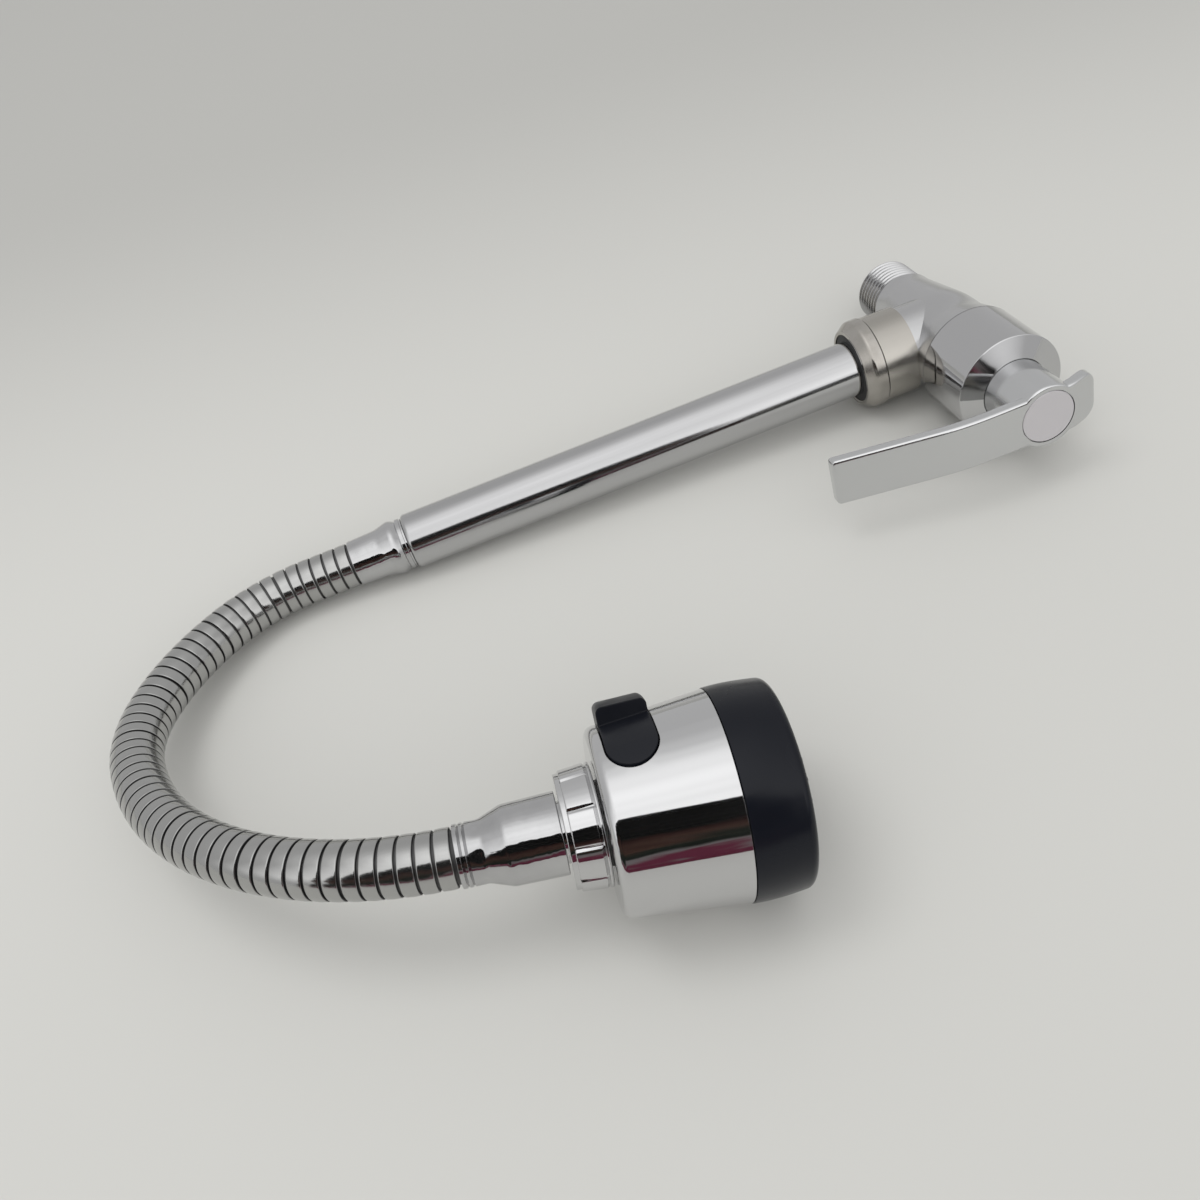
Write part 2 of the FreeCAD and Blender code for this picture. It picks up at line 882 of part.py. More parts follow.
def tab_slot():
    """The curved slot in the shell that the selector tab slides in."""
    low = tab_rear - tab_gap
    high = tab_front + tab_gap
    edge = math.degrees(tab_gap / shell_radius(low))
    end_reach = math.degrees((high - low) / 2 / shell_front_radius)
    first = tab_first_angle - tab_travel - edge
    last = tab_last_angle + edge
    outside = shell_front_radius + cut_margin
    sector = turned_sector(
        [(core_radius, low), (outside, low), (outside, high), (core_radius, high)],
        first, last - end_reach,
    )
    return sector.fuse(tab_round_end(low, high, last, core_radius, outside))


def tab_round_end(low, high, angle, inner, outer):
    """A rod through the shell whose far side stands at that angle, for a round slot or tab end."""
    radius = (high - low) / 2
    centre = angle - math.degrees(radius / shell_front_radius)
    end = rod(radius, inner, outer)
    end = placed(end, Vec(0, 0, (low + high) / 2), Vec(0, 0, 1), Vec(1, 0, 0))
    end.rotate(Vec(0, 0, 0), Z, centre)
    return end


def head_shell():
    inner_rear = shell_radius(shell_floor) - shell_wall
    inner_front = shell_front_radius - shell_wall
    points = [
        (shell_hole_radius, shell_rear),
        (shell_rear_radius, shell_rear, shell_rim_curve),
        (shell_front_radius, 0),
        (inner_front, 0),
        (inner_rear, shell_floor),
        (shell_hole_radius, shell_floor),
    ]
    return on_head_axis(turned(points).cut(tab_slot()))


def core_ports(radius, inner, outer):
    """Radial water ports halfway along the diverter sleeve."""
    port = rod(radius, inner, outer)
    port = placed(port, Vec(0, 0, (shell_floor + core_neck_end) / 2), Vec(0, 0, 1), Vec(1, 0, 0))
    return around(port, core_port_count)


def head_core():
    points = [
        (core_bore_radius, core_start),
        (core_stub_radius, core_start),
        (core_stub_radius, shell_floor + fit_clearance),
        (core_neck_radius, shell_floor + fit_clearance),
        (core_neck_radius, core_neck_end),
        (core_radius, core_neck_end, core_edge),
        (core_radius, core_front),
        (core_cavity_radius, core_front),
        (core_cavity_radius, core_cavity_start),
        (core_bore_radius, core_cavity_start),
    ]
    groove = tube(core_radius + cut_margin, core_radius - 2 * core_ring_radius,
                  face_ring_start - core_ring_radius, face_ring_start + core_ring_radius)
    groove.translate(Vec(0, 0, 2 * core_ring_radius))
    ports = core_ports(core_port_radius, core_bore_radius - cut_margin, core_neck_radius + cut_margin)
    return on_head_axis(turned(points).cut([groove] + ports))


def core_o_ring():
    return on_head_axis(o_ring(core_radius - core_ring_radius, core_ring_radius - fit_clearance,
                               face_ring_start + 2 * core_ring_radius))


def face_ring():
    inner = core_radius + 2 * fit_clearance
    points = [
        (inner, -face_ring_plug_length),
        (face_ring_plug_radius, -face_ring_plug_length),
        (face_ring_plug_radius, face_ring_start),
        (face_ring_rear_radius, face_ring_start),
        (face_ring_belly_radius, face_ring_belly),
        (face_ring_waist_radius, face_ring_waist),
        (face_ring_front_radius, face_ring_end, face_ring_curve),
        (inner, face_ring_end),
    ]
    return on_head_axis(turned(points))


def nozzle_rods(radius, low, high):
    """One rod for each spray nozzle, in rings round the aerator."""
    rods = []
    for row_radius, count in zip(nozzle_row_radii, nozzle_row_counts):
        rods += around(rod(radius, low, high, row_radius), count)
    return rods


def face_plate():
    hole = aerator_ring_radius + fit_clearance
    points = [
        (hole, plate_rear),
        (plate_radius, plate_rear),
        (plate_radius, plate_front, plate_edge),
        (hole, plate_front),
    ]
    holes = nozzle_rods(nozzle_hole_radius, plate_rear, plate_front)
    return on_head_axis(turned(points).cut(holes))


def nozzle_pad():
    pad = tube(pad_radius, aerator_ring_radius + fit_clearance, pad_rear, plate_rear)
    nozzles = nozzle_rods(nozzle_radius, pad_rear + pad_thickness / 2, plate_front + nozzle_proud)
    return on_head_axis(pad.fuse(nozzles))


def aerator_insert():
    body = rod(aerator_radius, aerator_rear, plate_front)
    holes = []
    steps = int(aerator_radius / aerator_hole_spacing) + 1
    for i in range(-steps, steps + 1):
        for j in range(-steps, steps + 1):
            x = (i + j / 2) * aerator_hole_spacing
            y = j * aerator_hole_spacing * math.sqrt(3) / 2
            if math.hypot(x, y) + aerator_hole_radius < aerator_radius - aerator_rim:
                holes.append(rod(aerator_hole_radius, aerator_rear, plate_front, x, y))
    return on_head_axis(body.cut(holes))


def aerator_ring():
    inner = aerator_radius + fit_clearance
    high = plate_front + aerator_ring_proud
    points = [
        (inner, aerator_rear),
        (aerator_ring_radius, aerator_rear),
        (aerator_ring_radius, high, aerator_ring_edge),
        (inner, high, aerator_ring_inner_edge),
    ]
    return on_head_axis(turned(points))


def tab_layer(low, high, first, last, inner, outer):
    """A piece of the tab with square ends that follows the shell's cone between two depths from it."""
    points = [
        (shell_radius(low) + inner, low),
        (shell_radius(low) + outer, low),
        (shell_radius(high) + outer, high),
        (shell_radius(high) + inner, high),
    ]
    return turned_sector(points, first, last)


def selector_tab():
    reach = math.degrees((tab_front - tab_rear) / 2 / shell_front_radius)
    under = -shell_wall - gap
    pad = tab_layer(tab_rear, tab_front, tab_first_angle, tab_last_angle - reach, under, tab_proud)
    end = tab_round_end(tab_rear, tab_front, tab_last_angle, core_radius, shell_front_radius + block_proud)
    first = tab_last_angle - 3 * reach
    cover = tab_layer(tab_rear, tab_front, first, tab_last_angle + reach, under, tab_proud)
    end = end.common(cover)
    block = turned_sector([
        (shell_radius(tab_rear), tab_rear),
        (shell_radius(tab_rear) + block_proud, tab_rear, block_curve),
        (shell_radius(tab_front) + block_proud - block_front_drop, tab_front, block_curve),
        (shell_radius(tab_front), tab_front),
    ], tab_first_angle, block_last_angle)
    skirt = tab_layer(
        tab_rear - skirt_edge, tab_front + skirt_edge,
        tab_first_angle - tab_travel - skirt_overlap, tab_last_angle + tab_travel + skirt_overlap,
        under - skirt_thickness, under,
    )
    web = turned_sector([
        (sleeve_radius, tab_rear + web_inset),
        (shell_radius(tab_rear) + under, tab_rear + web_inset),
        (shell_radius(tab_rear) + under, tab_front - web_inset),
        (sleeve_radius, tab_front - web_inset),
    ], web_middle_angle - web_angle / 2, web_middle_angle + web_angle / 2)
    return on_head_axis(skirt.fuse([pad, end, block, web]))


def diverter_sleeve():
    inner = core_neck_radius + run_clearance
    middle = (shell_floor + core_neck_end) / 2
    sleeve = tube(sleeve_radius, inner, middle - sleeve_length / 2, middle + sleeve_length / 2)
    ports = core_ports(core_port_radius, core_neck_radius, sleeve_radius + cut_margin)
    return on_head_axis(sleeve.cut(ports))


def gasket():
    outer = bonnet_inner_radius() - fit_clearance
    return on_body_axis(tube(outer, chamber_radius, wall_to_seam, collar_start))


def seat_seal():
    return on_body_axis(tube(chamber_radius - fit_clearance, seal_bore_radius, chamber_end, seal_end))


pieces = {
    "valve_body": valve_body,
    "seat_seal": seat_seal,
    "fixed_disc": fixed_disc,
    "headwork_gasket": gasket,
    "headwork_housing": headwork_housing,
    "bonnet_cover": bonnet_cover,
    "spout_nut": spout_nut,
    "tube_bush": tube_bush,
    "moving_disc": moving_disc,
    "spindle": spindle,
    "spindle_o_rings": spindle_o_rings,
    "spindle_circlip": spindle_circlip,
    "lever_handle": lever_handle,
    "handle_screw": handle_screw,
    "index_cap": index_cap,
    "spout_tube": spout_tube,
    "tube_o_rings": tube_o_rings,
    "tube_retainer": tube_retainer,
    "upper_ferrule": upper_ferrule,
    "head_ferrule": head_ferrule,
    "swivel_washer": swivel_washer,
    "collar_nut": collar_nut,
    "head_shell": head_shell,
    "head_core": head_core,
    "core_o_ring": core_o_ring,
    "face_ring": face_ring,
    "face_plate": face_plate,
    "nozzle_pad": nozzle_pad,
    "aerator_insert": aerator_insert,
    "aerator_ring": aerator_ring,
    "selector_tab": selector_tab,
    "diverter_sleeve": diverter_sleeve,
}


def main():
    for name, make in pieces.items():
        save(name, make())
    for number in range(hose_sections):
        section = hose_section(number)
        save("hose_section_%d" % (number + 1), section)
    print("hose from", round(hose_start, 2), "to", round(hose_end, 2), "mm along its route")
    print("rib pitch", round((section_length + rib_groove) / section_ribs, 2), "mm")
    print("bend radii", route_bend_radii + (route_last_radius,))
    print("head origin", [round(value, 2) for value in head_origin])


main()
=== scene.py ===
import json
import math
import bpy
from mathutils import Matrix, Vector


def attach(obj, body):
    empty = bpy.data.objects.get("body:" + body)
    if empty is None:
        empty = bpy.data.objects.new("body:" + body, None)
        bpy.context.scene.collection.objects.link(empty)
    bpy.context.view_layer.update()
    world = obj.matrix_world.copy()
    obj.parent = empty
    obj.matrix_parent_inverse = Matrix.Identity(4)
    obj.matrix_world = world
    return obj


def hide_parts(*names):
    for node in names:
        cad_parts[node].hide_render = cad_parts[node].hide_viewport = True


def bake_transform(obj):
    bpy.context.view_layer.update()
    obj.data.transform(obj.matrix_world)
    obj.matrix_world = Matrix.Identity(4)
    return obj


# A wall tap with a bendable spout and a two-way spray head, lying on a pale table.
# Sizes are in millimetres here, and in metres in the scene.

bl_info = {
    "name": "Bendable wall tap",
    "version": (1, 0, 0),
    "blender": (4, 5, 0),
    "location": "View3D > Sidebar > Tap",
    "description": "Models and finishes a wall tap with a bendable spout and a spray head",
    "category": "Object",
}

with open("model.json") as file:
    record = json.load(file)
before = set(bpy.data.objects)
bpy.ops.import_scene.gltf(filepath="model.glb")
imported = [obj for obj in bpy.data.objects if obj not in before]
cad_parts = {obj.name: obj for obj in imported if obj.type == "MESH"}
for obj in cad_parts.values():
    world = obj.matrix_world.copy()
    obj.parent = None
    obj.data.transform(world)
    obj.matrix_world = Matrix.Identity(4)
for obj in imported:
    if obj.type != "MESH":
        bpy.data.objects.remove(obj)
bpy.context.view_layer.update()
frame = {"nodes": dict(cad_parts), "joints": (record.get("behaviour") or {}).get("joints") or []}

MM = 0.001
joints = {joint["name"]: joint for joint in frame["joints"]}

# How finely the pieces are modelled
columns = 96
fine_columns = 128
ring_columns = 192
hose_columns = 64
nut_columns = 360
axis_radius = 0.001
cut_merge = 0.005
cut_past = 1.0
smooth_angle = 30

# Roundings of the turned pieces' edges
crisp_edge = 0.15
fine_edge = 0.2
plain_edge = 0.25
soft_edge = 0.3
round_edge = 0.4

# A ring beside a small rounding keeps the flat face flat: nearer where the rounding is tight
tight_rounding = 0.6
tight_hold_share = 0.4
wide_rounding = 3.0
wide_hold = 0.2


def direction(x, y, z):
    return Vector((x, y, z)).normalized()


# The table that the tap lies on, as a plane: x = offset + y * slope_y + z * slope_z
table_offset = -12.5
table_slope_y = 0.15
table_slope_z = 0.035
table_up = direction(1, -table_slope_y, -table_slope_z)
table_far = direction(0.144, 0.984, -0.107)
table_right = table_far.cross(table_up)

# Valve body and its parts, in places from the wall thread's shoulder
wall_to_spout = 25.0
wall_to_seam = 44.6
boss_foot = 14.4
boss_radius = 14.1
mask_margin = 0.05
bonnet_start = wall_to_seam + 0.08
bonnet_radius = 16.6
bonnet_end = wall_to_seam + 22.6
bonnet_cone_length = 2.4
bonnet_hole_radius = 9.97
bonnet_wall = 2.0

# Lever, with the heights where its bends are sliced
hub_radius = 9.9
hub_rear = bonnet_end + bonnet_cone_length - 1.2
hub_front = 87.5
cap_radius = 8.05
cap_thickness = 1.6
cap_gap = 0.2
arm_half_width = 7.6
arm_thickness = 3.5
arm_bend_height = 25.0
arm_bend_angle = math.radians(11)
arm_bend_radius = 85.0
arm_tip = 63.0
arm_tip_corner = 1.2
tail_bend_height = 8.0
tail_bend_angle = math.radians(21)
tail_bend_radius = 8.0
tail_tip = 16.6
tail_corner = 4.5
corner_slices = 6
tail_slices = 7
tail_slice_start = -10.2
tail_slice_step = 0.75
arm_slices = 11
arm_slice_start = 16.2
arm_slice_step = 1.74
lever_smooth_angle = 28

# Spout nut, in places along the spout's axis from the body's axis
nut_radius = 14.6
nut_foot = 25.6
nut_top = 32.2
nut_bore = 12.43
nut_rim_height = 3.0
nut_rim_step = 2.2
nut_rim_curve = 2.0
nut_top_wall = 2.0
nut_mouth_radius = 11.3
nut_mouth_depth = 1.1
nut_tube_gap = 0.4

# Spout tube and the ferrule on its end
tube_radius = 9.0
tube_bore = 7.6
tube_foot = 11.0
tube_top = 186.1
tube_shoulder = 1.372
tube_shoulder_steps = 6
ferrule_bore = 4.7
ferrule_plug_radius = tube_bore - 0.03
ferrule_plug_length = 10.0
ferrule_seat_radius = 8.0
ferrule_ring_radius = 8.4
ferrule_ring_start = tube_top + 0.5
ferrule_ring_end = tube_top + 1.8
ferrule_groove_radius = 7.85
ferrule_groove = tube_top + 2.0
ferrule_bead_radius = 8.95
ferrule_bead = tube_top + 4.2
ferrule_bead_curve = 3.0
ferrule_neck_radius = 7.65
ferrule_neck = tube_top + 9.0
ferrule_neck_curve = 8.0
ferrule_top_radius = 7.3
ferrule_top = tube_top + 18.4

# Hose and its route
hose_radius = 7.1
hose_groove_radius = 6.3
hose_bore_radius = 4.8
hose_sections = 9
section_ribs = 6
rib_groove = 0.58
rib_crown = 0.1
joint_gap = 0.75
neck_radius = 6.2
neck_reach = 1.0
neck_slices = 4
rib_steps = 3
rib_smooth_angle = 40
groove_margin = 0.65
route_turn = math.radians(4.33)
route_first_run = 33.4
route_bends = ((45.8, 37.7), (71.3, 27.6), (47.1, 35.0), (87.3, 22.9))
route_last_radius = 87.6
route_last_run = 60.4
head_axis = Vector(joints["head_swivel"]["axis"]).normalized()

# Head ferrule, in places along the head's axis from the shell's front seam
sleeve_radius = 7.4
head_ferrule_start = -62.6
sleeve_grooves = 2
sleeve_groove_pitch = 1.3
sleeve_groove_depth = 0.35
dents = 7
dent_middle = -57.4
dent_length = 1.3
dent_depth = 0.3
dent_rings = 4
dent_ring_step = 0.5
sleeve_flare_start = -56.5
sleeve_flare_end = -51.1
sleeve_flare_curve = 4.0
sleeve_shoulder_radius = 9.4
sleeve_end_radius = 9.7
sleeve_end = -38.4
sleeve_spigot_radius = 7.2
sleeve_spigot_end = -36.0

# Collar nut, in places from the same seam
head_nut_rear = -37.9
head_nut_front = -29.3
collar_rear_radius = 13.8
collar_front_radius = 14.5
collar_hole_radius = 7.25
collar_thread_radius = 10.0
collar_floor = head_nut_rear + 2.0
collar_lip = head_nut_rear + 1.25
collar_lip_step = 0.45
collar_steps = 3
collar_smooth_angle = 35
rim_groove = head_nut_front - 1.1
rim_groove_depth = 0.5
rim_groove_rear = 0.45
rim_groove_front = 0.4
nut_panels = 10
panel_turn = 11
panel_rise = 0.1
panel_fall = 0.05
panel_groove_depth = 0.5
panel_groove_columns = 3
panel_margin = 0.2

# Face ring, in places from the same seam
face_ring_plug_radius = 22.9
face_ring_plug_end = -3.0
face_ring_start = 0.25
face_ring_rear_radius = 25.2
face_ring_crown = 4.7
face_ring_crown_radius = 25.4
face_ring_fall = 9.5
face_ring_fall_radius = 25.1
face_ring_side_curve = 60.0
face_ring_end = 14.7
face_ring_end_radius = 24.6
face_ring_end_curve = 2.0
face_ring_steps = 6
plate_radius = 20.3
plate_gap = 0.06

# Fixed colours
satin = (0.45, 0.43, 0.395)
nickel = (0.47, 0.45, 0.42)
nickel_marks = (0.38, 0.36, 0.33)
lever_chrome = (0.62, 0.625, 0.63)
plated_plastic = (0.6, 0.6, 0.605)
cap_silver = (0.60, 0.58, 0.60)
# Painted shade in the hose's grooves and on the necks between its lengths
painted_recess_shade = (0.12, 0.12, 0.12)
plate_grey = (0.03, 0.031, 0.034)
nozzle_grey = (0.045, 0.046, 0.05)
aerator_grey = (0.32, 0.33, 0.34)
core_grey = (0.55, 0.55, 0.54)
brass = (0.62, 0.44, 0.2)
steel = (0.5, 0.5, 0.51)
ceramic = (0.75, 0.74, 0.7)
seal_black = (0.02, 0.02, 0.021)
satin_roughness = 0.24
groove_roughness = 0.5
dim_share = 0.86
dim_hose_share = 0.8

# Marks of a surface: the default size of each in millimetres, and its detail
surface_marks = {"Smudge": (12.0, 4), "Wave": (4.0, 1), "Grain": (0.3, 2)}
noise_low = 0.35
noise_high = 0.68
edge_samples = 4

# The table and the lamp, in places on the table as (right, far, up) from under the tap's middle
tap_middle_y = -90.0
tap_middle_z = 120.0
table_width = 5000.0
# Painted shade on the table: its colour darkens between these distances towards its far side, down to this
# share
table_painted_shade_start = 60
table_painted_shade_end = 420
table_painted_shade_share = 0.76
table_roughness = 0.6
table_shine = 0.25
lamp_place = (-300, 60, 950)
lamp_size = 450.0
clip_start = 10.0

# The dark cards: name, low edge, high edge, half width, and whether it is an oval
dark_cards = (
    ("high_card", (-100, -470, -20), (-100, -230, 262), 260, True),
    ("low_card", (-60, -520, -30), (-60, -520, 130), 540, False),
)
oval_points = 160
ragged_edge = 0.06
ragged_draw = 4
fold_scale = 14
fold_detail = 5
fold_depth = 0.5
card_bands = (
    (0.25, (0.19, 0.045, 0.08)),
    (0.3, (0.27, 0.25, 0.255)),
    (0.35, (0.02, 0.024, 0.02)),
    (0.44, (0.03, 0.036, 0.03)),
    (0.55, (0.095, 0.055, 0.045)),
    (0.66, (0.05, 0.025, 0.022)),
    (0.75, (0.012, 0.012, 0.012)),
)

# The room: its grey by the share upwards, the extra glow on the near side, and the backdrop
room_greys = ((0.0, 0.6), (0.5, 0.6), (0.72, 0.64), (0.87, 0.78), (0.94, 1.0), (1.0, 1.3))
near_glow_full = -0.9
glow_rise_start = 0.15
glow_rise_end = 0.4
backdrop = (0.62, 0.615, 0.59)


# Settings that a user would change

class TapStageSettings(bpy.types.PropertyGroup):
    camera_place: bpy.props.FloatVectorProperty(
        name="Camera place", description="Where the camera stands", subtype="TRANSLATION",
        unit="LENGTH", default=(0.20255, -0.34554, 0.15445))
    camera_turn: bpy.props.FloatVectorProperty(
        name="Camera turn", description="How the camera is turned", subtype="EULER", unit="ROTATION",
        default=(math.radians(-82.607), math.radians(68.038), math.radians(-134.826)))
    camera_lens: bpy.props.FloatProperty(
        name="Lens", description="Focal length of the camera", default=35.19, min=10, unit="CAMERA")
    table_colour: bpy.props.FloatVectorProperty(
        name="Table", description="Colour of the table", subtype="COLOR", size=3,
        default=(0.60, 0.597, 0.57))
    lamp_power: bpy.props.FloatProperty(
        name="Lamp", description="Power of the soft lamp over the table", default=1.6, min=0, unit="POWER")
    room_light: bpy.props.FloatProperty(
        name="Room light", description="Strength of the light from the room", default=1.0, min=0)


class TapFinishSettings(bpy.types.PropertyGroup):
    chrome: bpy.props.FloatVectorProperty(
        name="Chrome", description="Colour of the chrome", subtype="COLOR", size=3,
        default=(0.54, 0.54, 0.545))
    hose_steel: bpy.props.FloatVectorProperty(
        name="Hose steel", description="Colour of the hose's bands", subtype="COLOR", size=3,
        default=(0.48, 0.48, 0.472))
    black: bpy.props.FloatVectorProperty(
        name="Black plastic", description="Colour of the ring and the selector", subtype="COLOR", size=3,
        default=(0.0055, 0.0065, 0.0105))


class TapSizeSettings(bpy.types.PropertyGroup):
    rib_edge: bpy.props.FloatProperty(
        name="Band edge", description="Rounding of each band of the hose", default=0.28 * MM, unit="LENGTH")
    lever_edge: bpy.props.FloatProperty(
        name="Lever edge", description="Rounding of the lever's edges", default=0.7 * MM, unit="LENGTH")


# Modelling

def select_only(*pieces):
    bpy.ops.object.select_all(action="DESELECT")
    for piece in pieces:
        piece.select_set(True)
    bpy.context.view_layer.objects.active = pieces[0]


def edit_all():
    """Starts editing the active piece, with its whole mesh selected."""
    bpy.ops.object.mode_set(mode="EDIT")
    bpy.ops.mesh.select_all(action="SELECT")


def hold_beside(radius):
    """How far from a rounding the ring stands that keeps the flat face beside it flat."""
    if radius < tight_rounding:
        return tight_hold_share * radius
    if radius < wide_rounding:
        return wide_hold
    return 0


def rounded(outline, steps):
    """The outline's points, with an arc in place of each corner that gives a rounding."""
    points = []
    for i, point in enumerate(outline):
        corner = Vector(point[:2])
        radius = point[2] if len(point) > 2 else 0
        if not radius:
            points.append(corner)
            continue
        back = (Vector(outline[i - 1][:2]) - corner).normalized()
        on = (Vector(outline[(i + 1) % len(outline)][:2]) - corner).normalized()
        half_angle = back.angle(on) / 2
        reach = radius / math.tan(half_angle)
        centre = corner + (back + on).normalized() * (radius / math.sin(half_angle))
        start = corner + back * reach - centre
        end = corner + on * reach - centre
        first = math.atan2(start.y, start.x)
        sweep = (math.atan2(end.y, end.x) - first + math.pi) % (2 * math.pi) - math.pi
        hold = hold_beside(radius)
        if hold:
            points.append(corner + back * (reach + hold))
        for step in range(steps + 1):
            angle = first + sweep * step / steps
            points.append(centre + Vector((math.cos(angle), math.sin(angle))) * radius)
        if hold:
            points.append(corner + on * (reach + hold))
    return points


def turned(name, outline, count=columns, steps=5):
    """Models a turned piece about Z, ring by ring, from (radius, height[, rounding]) points."""
    rings = rounded(outline, steps)
    bpy.ops.object.select_all(action="DESELECT")
    radius = max(rings[0][0], axis_radius)
    foot = (0, 0, rings[0][1] * MM)
    bpy.ops.mesh.primitive_circle_add(vertices=count, radius=radius * MM, location=foot)
    piece = bpy.context.object
    piece.name = name
    piece.data.name = name
    edit_all()
    for before, ring in zip(rings, rings[1:]):
        rise = (0, 0, (ring[1] - before[1]) * MM)
        bpy.ops.mesh.extrude_region_move(TRANSFORM_OT_translate={"value": rise})
        growth = max(ring[0], axis_radius) / max(before[0], axis_radius)
        bpy.ops.transform.resize(value=(growth, growth, 1), center_override=(0, 0, ring[1] * MM))
    if outline[0][0] > 0:
        bpy.ops.mesh.select_all(action="DESELECT")
        bpy.ops.mesh.select_non_manifold()
        bpy.ops.mesh.bridge_edge_loops()
    bpy.ops.mesh.select_all(action="SELECT")
    bpy.ops.mesh.remove_doubles(threshold=4 * axis_radius * MM)
    bpy.ops.mesh.normals_make_consistent(inside=False)
    bpy.ops.object.mode_set(mode="OBJECT")
    bpy.ops.object.transform_apply(location=True, rotation=False, scale=False)
    return piece


def place(origin, x_axis, z_axis):
    """The matrix from the turning frame to a frame given by its origin, X and Z."""
    y_axis = z_axis.cross(x_axis)
    turn = Matrix((x_axis, y_axis, z_axis)).transposed().to_4x4()
    return Matrix.Translation(origin * MM) @ turn


on_body_axis = place(Vector((0, 0, 0)), Vector((1, 0, 0)), Vector((0, -1, 0)))
on_spout_axis = place(Vector((0, -wall_to_spout, 0)), Vector((1, 0, 0)), Vector((0, 0, 1)))


class Route:
    """The hose's centre line: straight runs and tangent arcs, as the piece's source has it."""

    def __init__(self):
        self.pieces = []
        self.length = 0.0
        self.at = Vector((0, -wall_to_spout, tube_top))
        self.along = Vector((0, 0, 1))
        self.inward = Vector((math.sin(route_turn), -math.cos(route_turn), 0))
        self.run(route_first_run)
        for radius, angle in route_bends:
            self.bend(radius, math.radians(angle))
        self.inward = (head_axis - self.along * head_axis.dot(self.along)).normalized()
        self.bend(route_last_radius, self.along.angle(head_axis))
        self.run(route_last_run)

    def run(self, length):
        self.pieces.append((self.length, length, None, self.at, self.along, self.inward))
        self.at = self.at + self.along * length
        self.length += length

    def bend(self, radius, angle):
        self.pieces.append((self.length, radius * angle, radius, self.at, self.along, self.inward))
        self.length += radius * angle
        self.at, self.along, self.inward = self.on_arc(radius, angle, self.at, self.along, self.inward)

    def on_arc(self, radius, angle, at, along, inward):
        sine = math.sin(angle)
        cosine = math.cos(angle)
        spot = at + along * (radius * sine) + inward * (radius * (1 - cosine))
        return spot, along * cosine + inward * sine, inward * cosine - along * sine

    def station(self, distance):
        """The place, direction and inward direction at a distance along the route."""
        for start, length, radius, at, along, inward in self.pieces:
            if distance <= start + length:
                break
        done = distance - start
        if radius is None:
            return at + along * done, along, inward
        return self.on_arc(radius, done / radius, at, along, inward)

    def matrix(self, distance):
        """Millimetres to metres, from a slice square to the route, its X kept steady."""
        spot, along, inward = self.station(distance)
        side = Vector((0, 0, 1)).cross(self.pieces[0][5])
        x_axis = (side - along * side.dot(along)).normalized()
        return place(spot, x_axis, along)


route = Route()
hose_start = ferrule_top - tube_top
hose_end = route.length + head_ferrule_start
section_pitch = (hose_end - hose_start - joint_gap) / hose_sections
section_length = section_pitch - joint_gap
on_head_axis = place(route.at, head_axis.cross(Vector((0, 1, 0))).normalized(), head_axis)


def apply_modifier(piece, kind, **settings):
    select_only(piece)
    bpy.ops.object.modifier_add(type=kind)
    modifier = piece.modifiers[-1]
    for name, value in settings.items():
        setattr(modifier, name, value)
    bpy.ops.object.modifier_apply(modifier=modifier.name)


def cut_or_join(piece, other, operation):
    apply_modifier(piece, "BOOLEAN", object=other, operation=operation, solver="EXACT")
    select_only(other)
    bpy.ops.object.delete()


def clean_cuts(piece):
    """Merges the hair-thin edges that a cut leaves, so that the surface stays closed."""
    select_only(piece)
    edit_all()
    bpy.ops.mesh.remove_doubles(threshold=cut_merge * MM)
    bpy.ops.mesh.dissolve_degenerate(threshold=cut_merge * MM)
    bpy.ops.object.mode_set(mode="OBJECT")


def bend_to_route(piece, start):
    """Lays a straight piece about Z along the route, keeps its straight shape for the finish, and marks its
    grooves, where the finish paints shade.
    """
    mesh = piece.data
    straight = mesh.attributes.new("straight", "FLOAT_VECTOR", "POINT")
    groove = mesh.attributes.new("groove", "FLOAT", "POINT")
    for vertex in mesh.vertices:
        across = Vector((vertex.co.x, vertex.co.y, 0))
        distance = start + vertex.co.z / MM
        straight.data[vertex.index].vector = across + Vector((0, 0, distance * MM))
        # Marks the grooves, where the finish paints shade
        groove.data[vertex.index].value = float(across.length < (hose_groove_radius + groove_margin) * MM)
        vertex.co = route.matrix(distance) @ across


def finish_piece(piece, matrix, finish, angle=smooth_angle):
    """Puts a modelled piece in its place in the shared frame, smooths it and paints it."""
    piece.matrix_basis = matrix @ piece.matrix_basis
    select_only(piece)
    bpy.ops.object.transform_apply(location=True, rotation=True, scale=True)
    bpy.ops.object.shade_smooth_by_angle(angle=math.radians(angle))
    piece.data.materials.clear()
    piece.data.materials.append(painted_with[finish])


def stand_for(piece, body, node):
    """Puts a modelled piece on its body, in place of the built one."""
    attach(piece, body)
    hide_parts(node)


# Materials

painted_with = {}


def set_inputs(tree, node, inputs):
    """Sets a node's inputs. Each is a plain value, or a node or its output, which is linked."""
    for name, value in inputs.items():
        if isinstance(value, bpy.types.Node):
            value = next(output for output in value.outputs if output.enabled)
        if isinstance(value, bpy.types.NodeSocket):
            tree.links.new(value, node.inputs[name])
        else:
            node.inputs[name].default_value = value


def add_node(tree, kind, inputs=None, **settings):
    """A new shader node with its settings and inputs."""
    node = tree.nodes.new("ShaderNode" + kind)
    for name, value in settings.items():
        setattr(node, name, value)
    set_inputs(tree, node, inputs or {})
    return node


def fill_ramp(ramp, stops):
    """Sets a colour ramp's stops, each a position and a colour."""
    elements = ramp.color_ramp.elements
    while len(elements) < len(stops):
        elements.new(0.5)
    for element, (position, colour) in zip(elements, stops):
        element.position = position
        element.color = (*colour, 1)


def new_material(name):
    """A new material's shader nodes, its Principled BSDF and the material itself."""
    material = bpy.data.materials.new(name)
    material.use_nodes = True
    tree = material.node_tree
    return tree, tree.nodes["Principled BSDF"], material


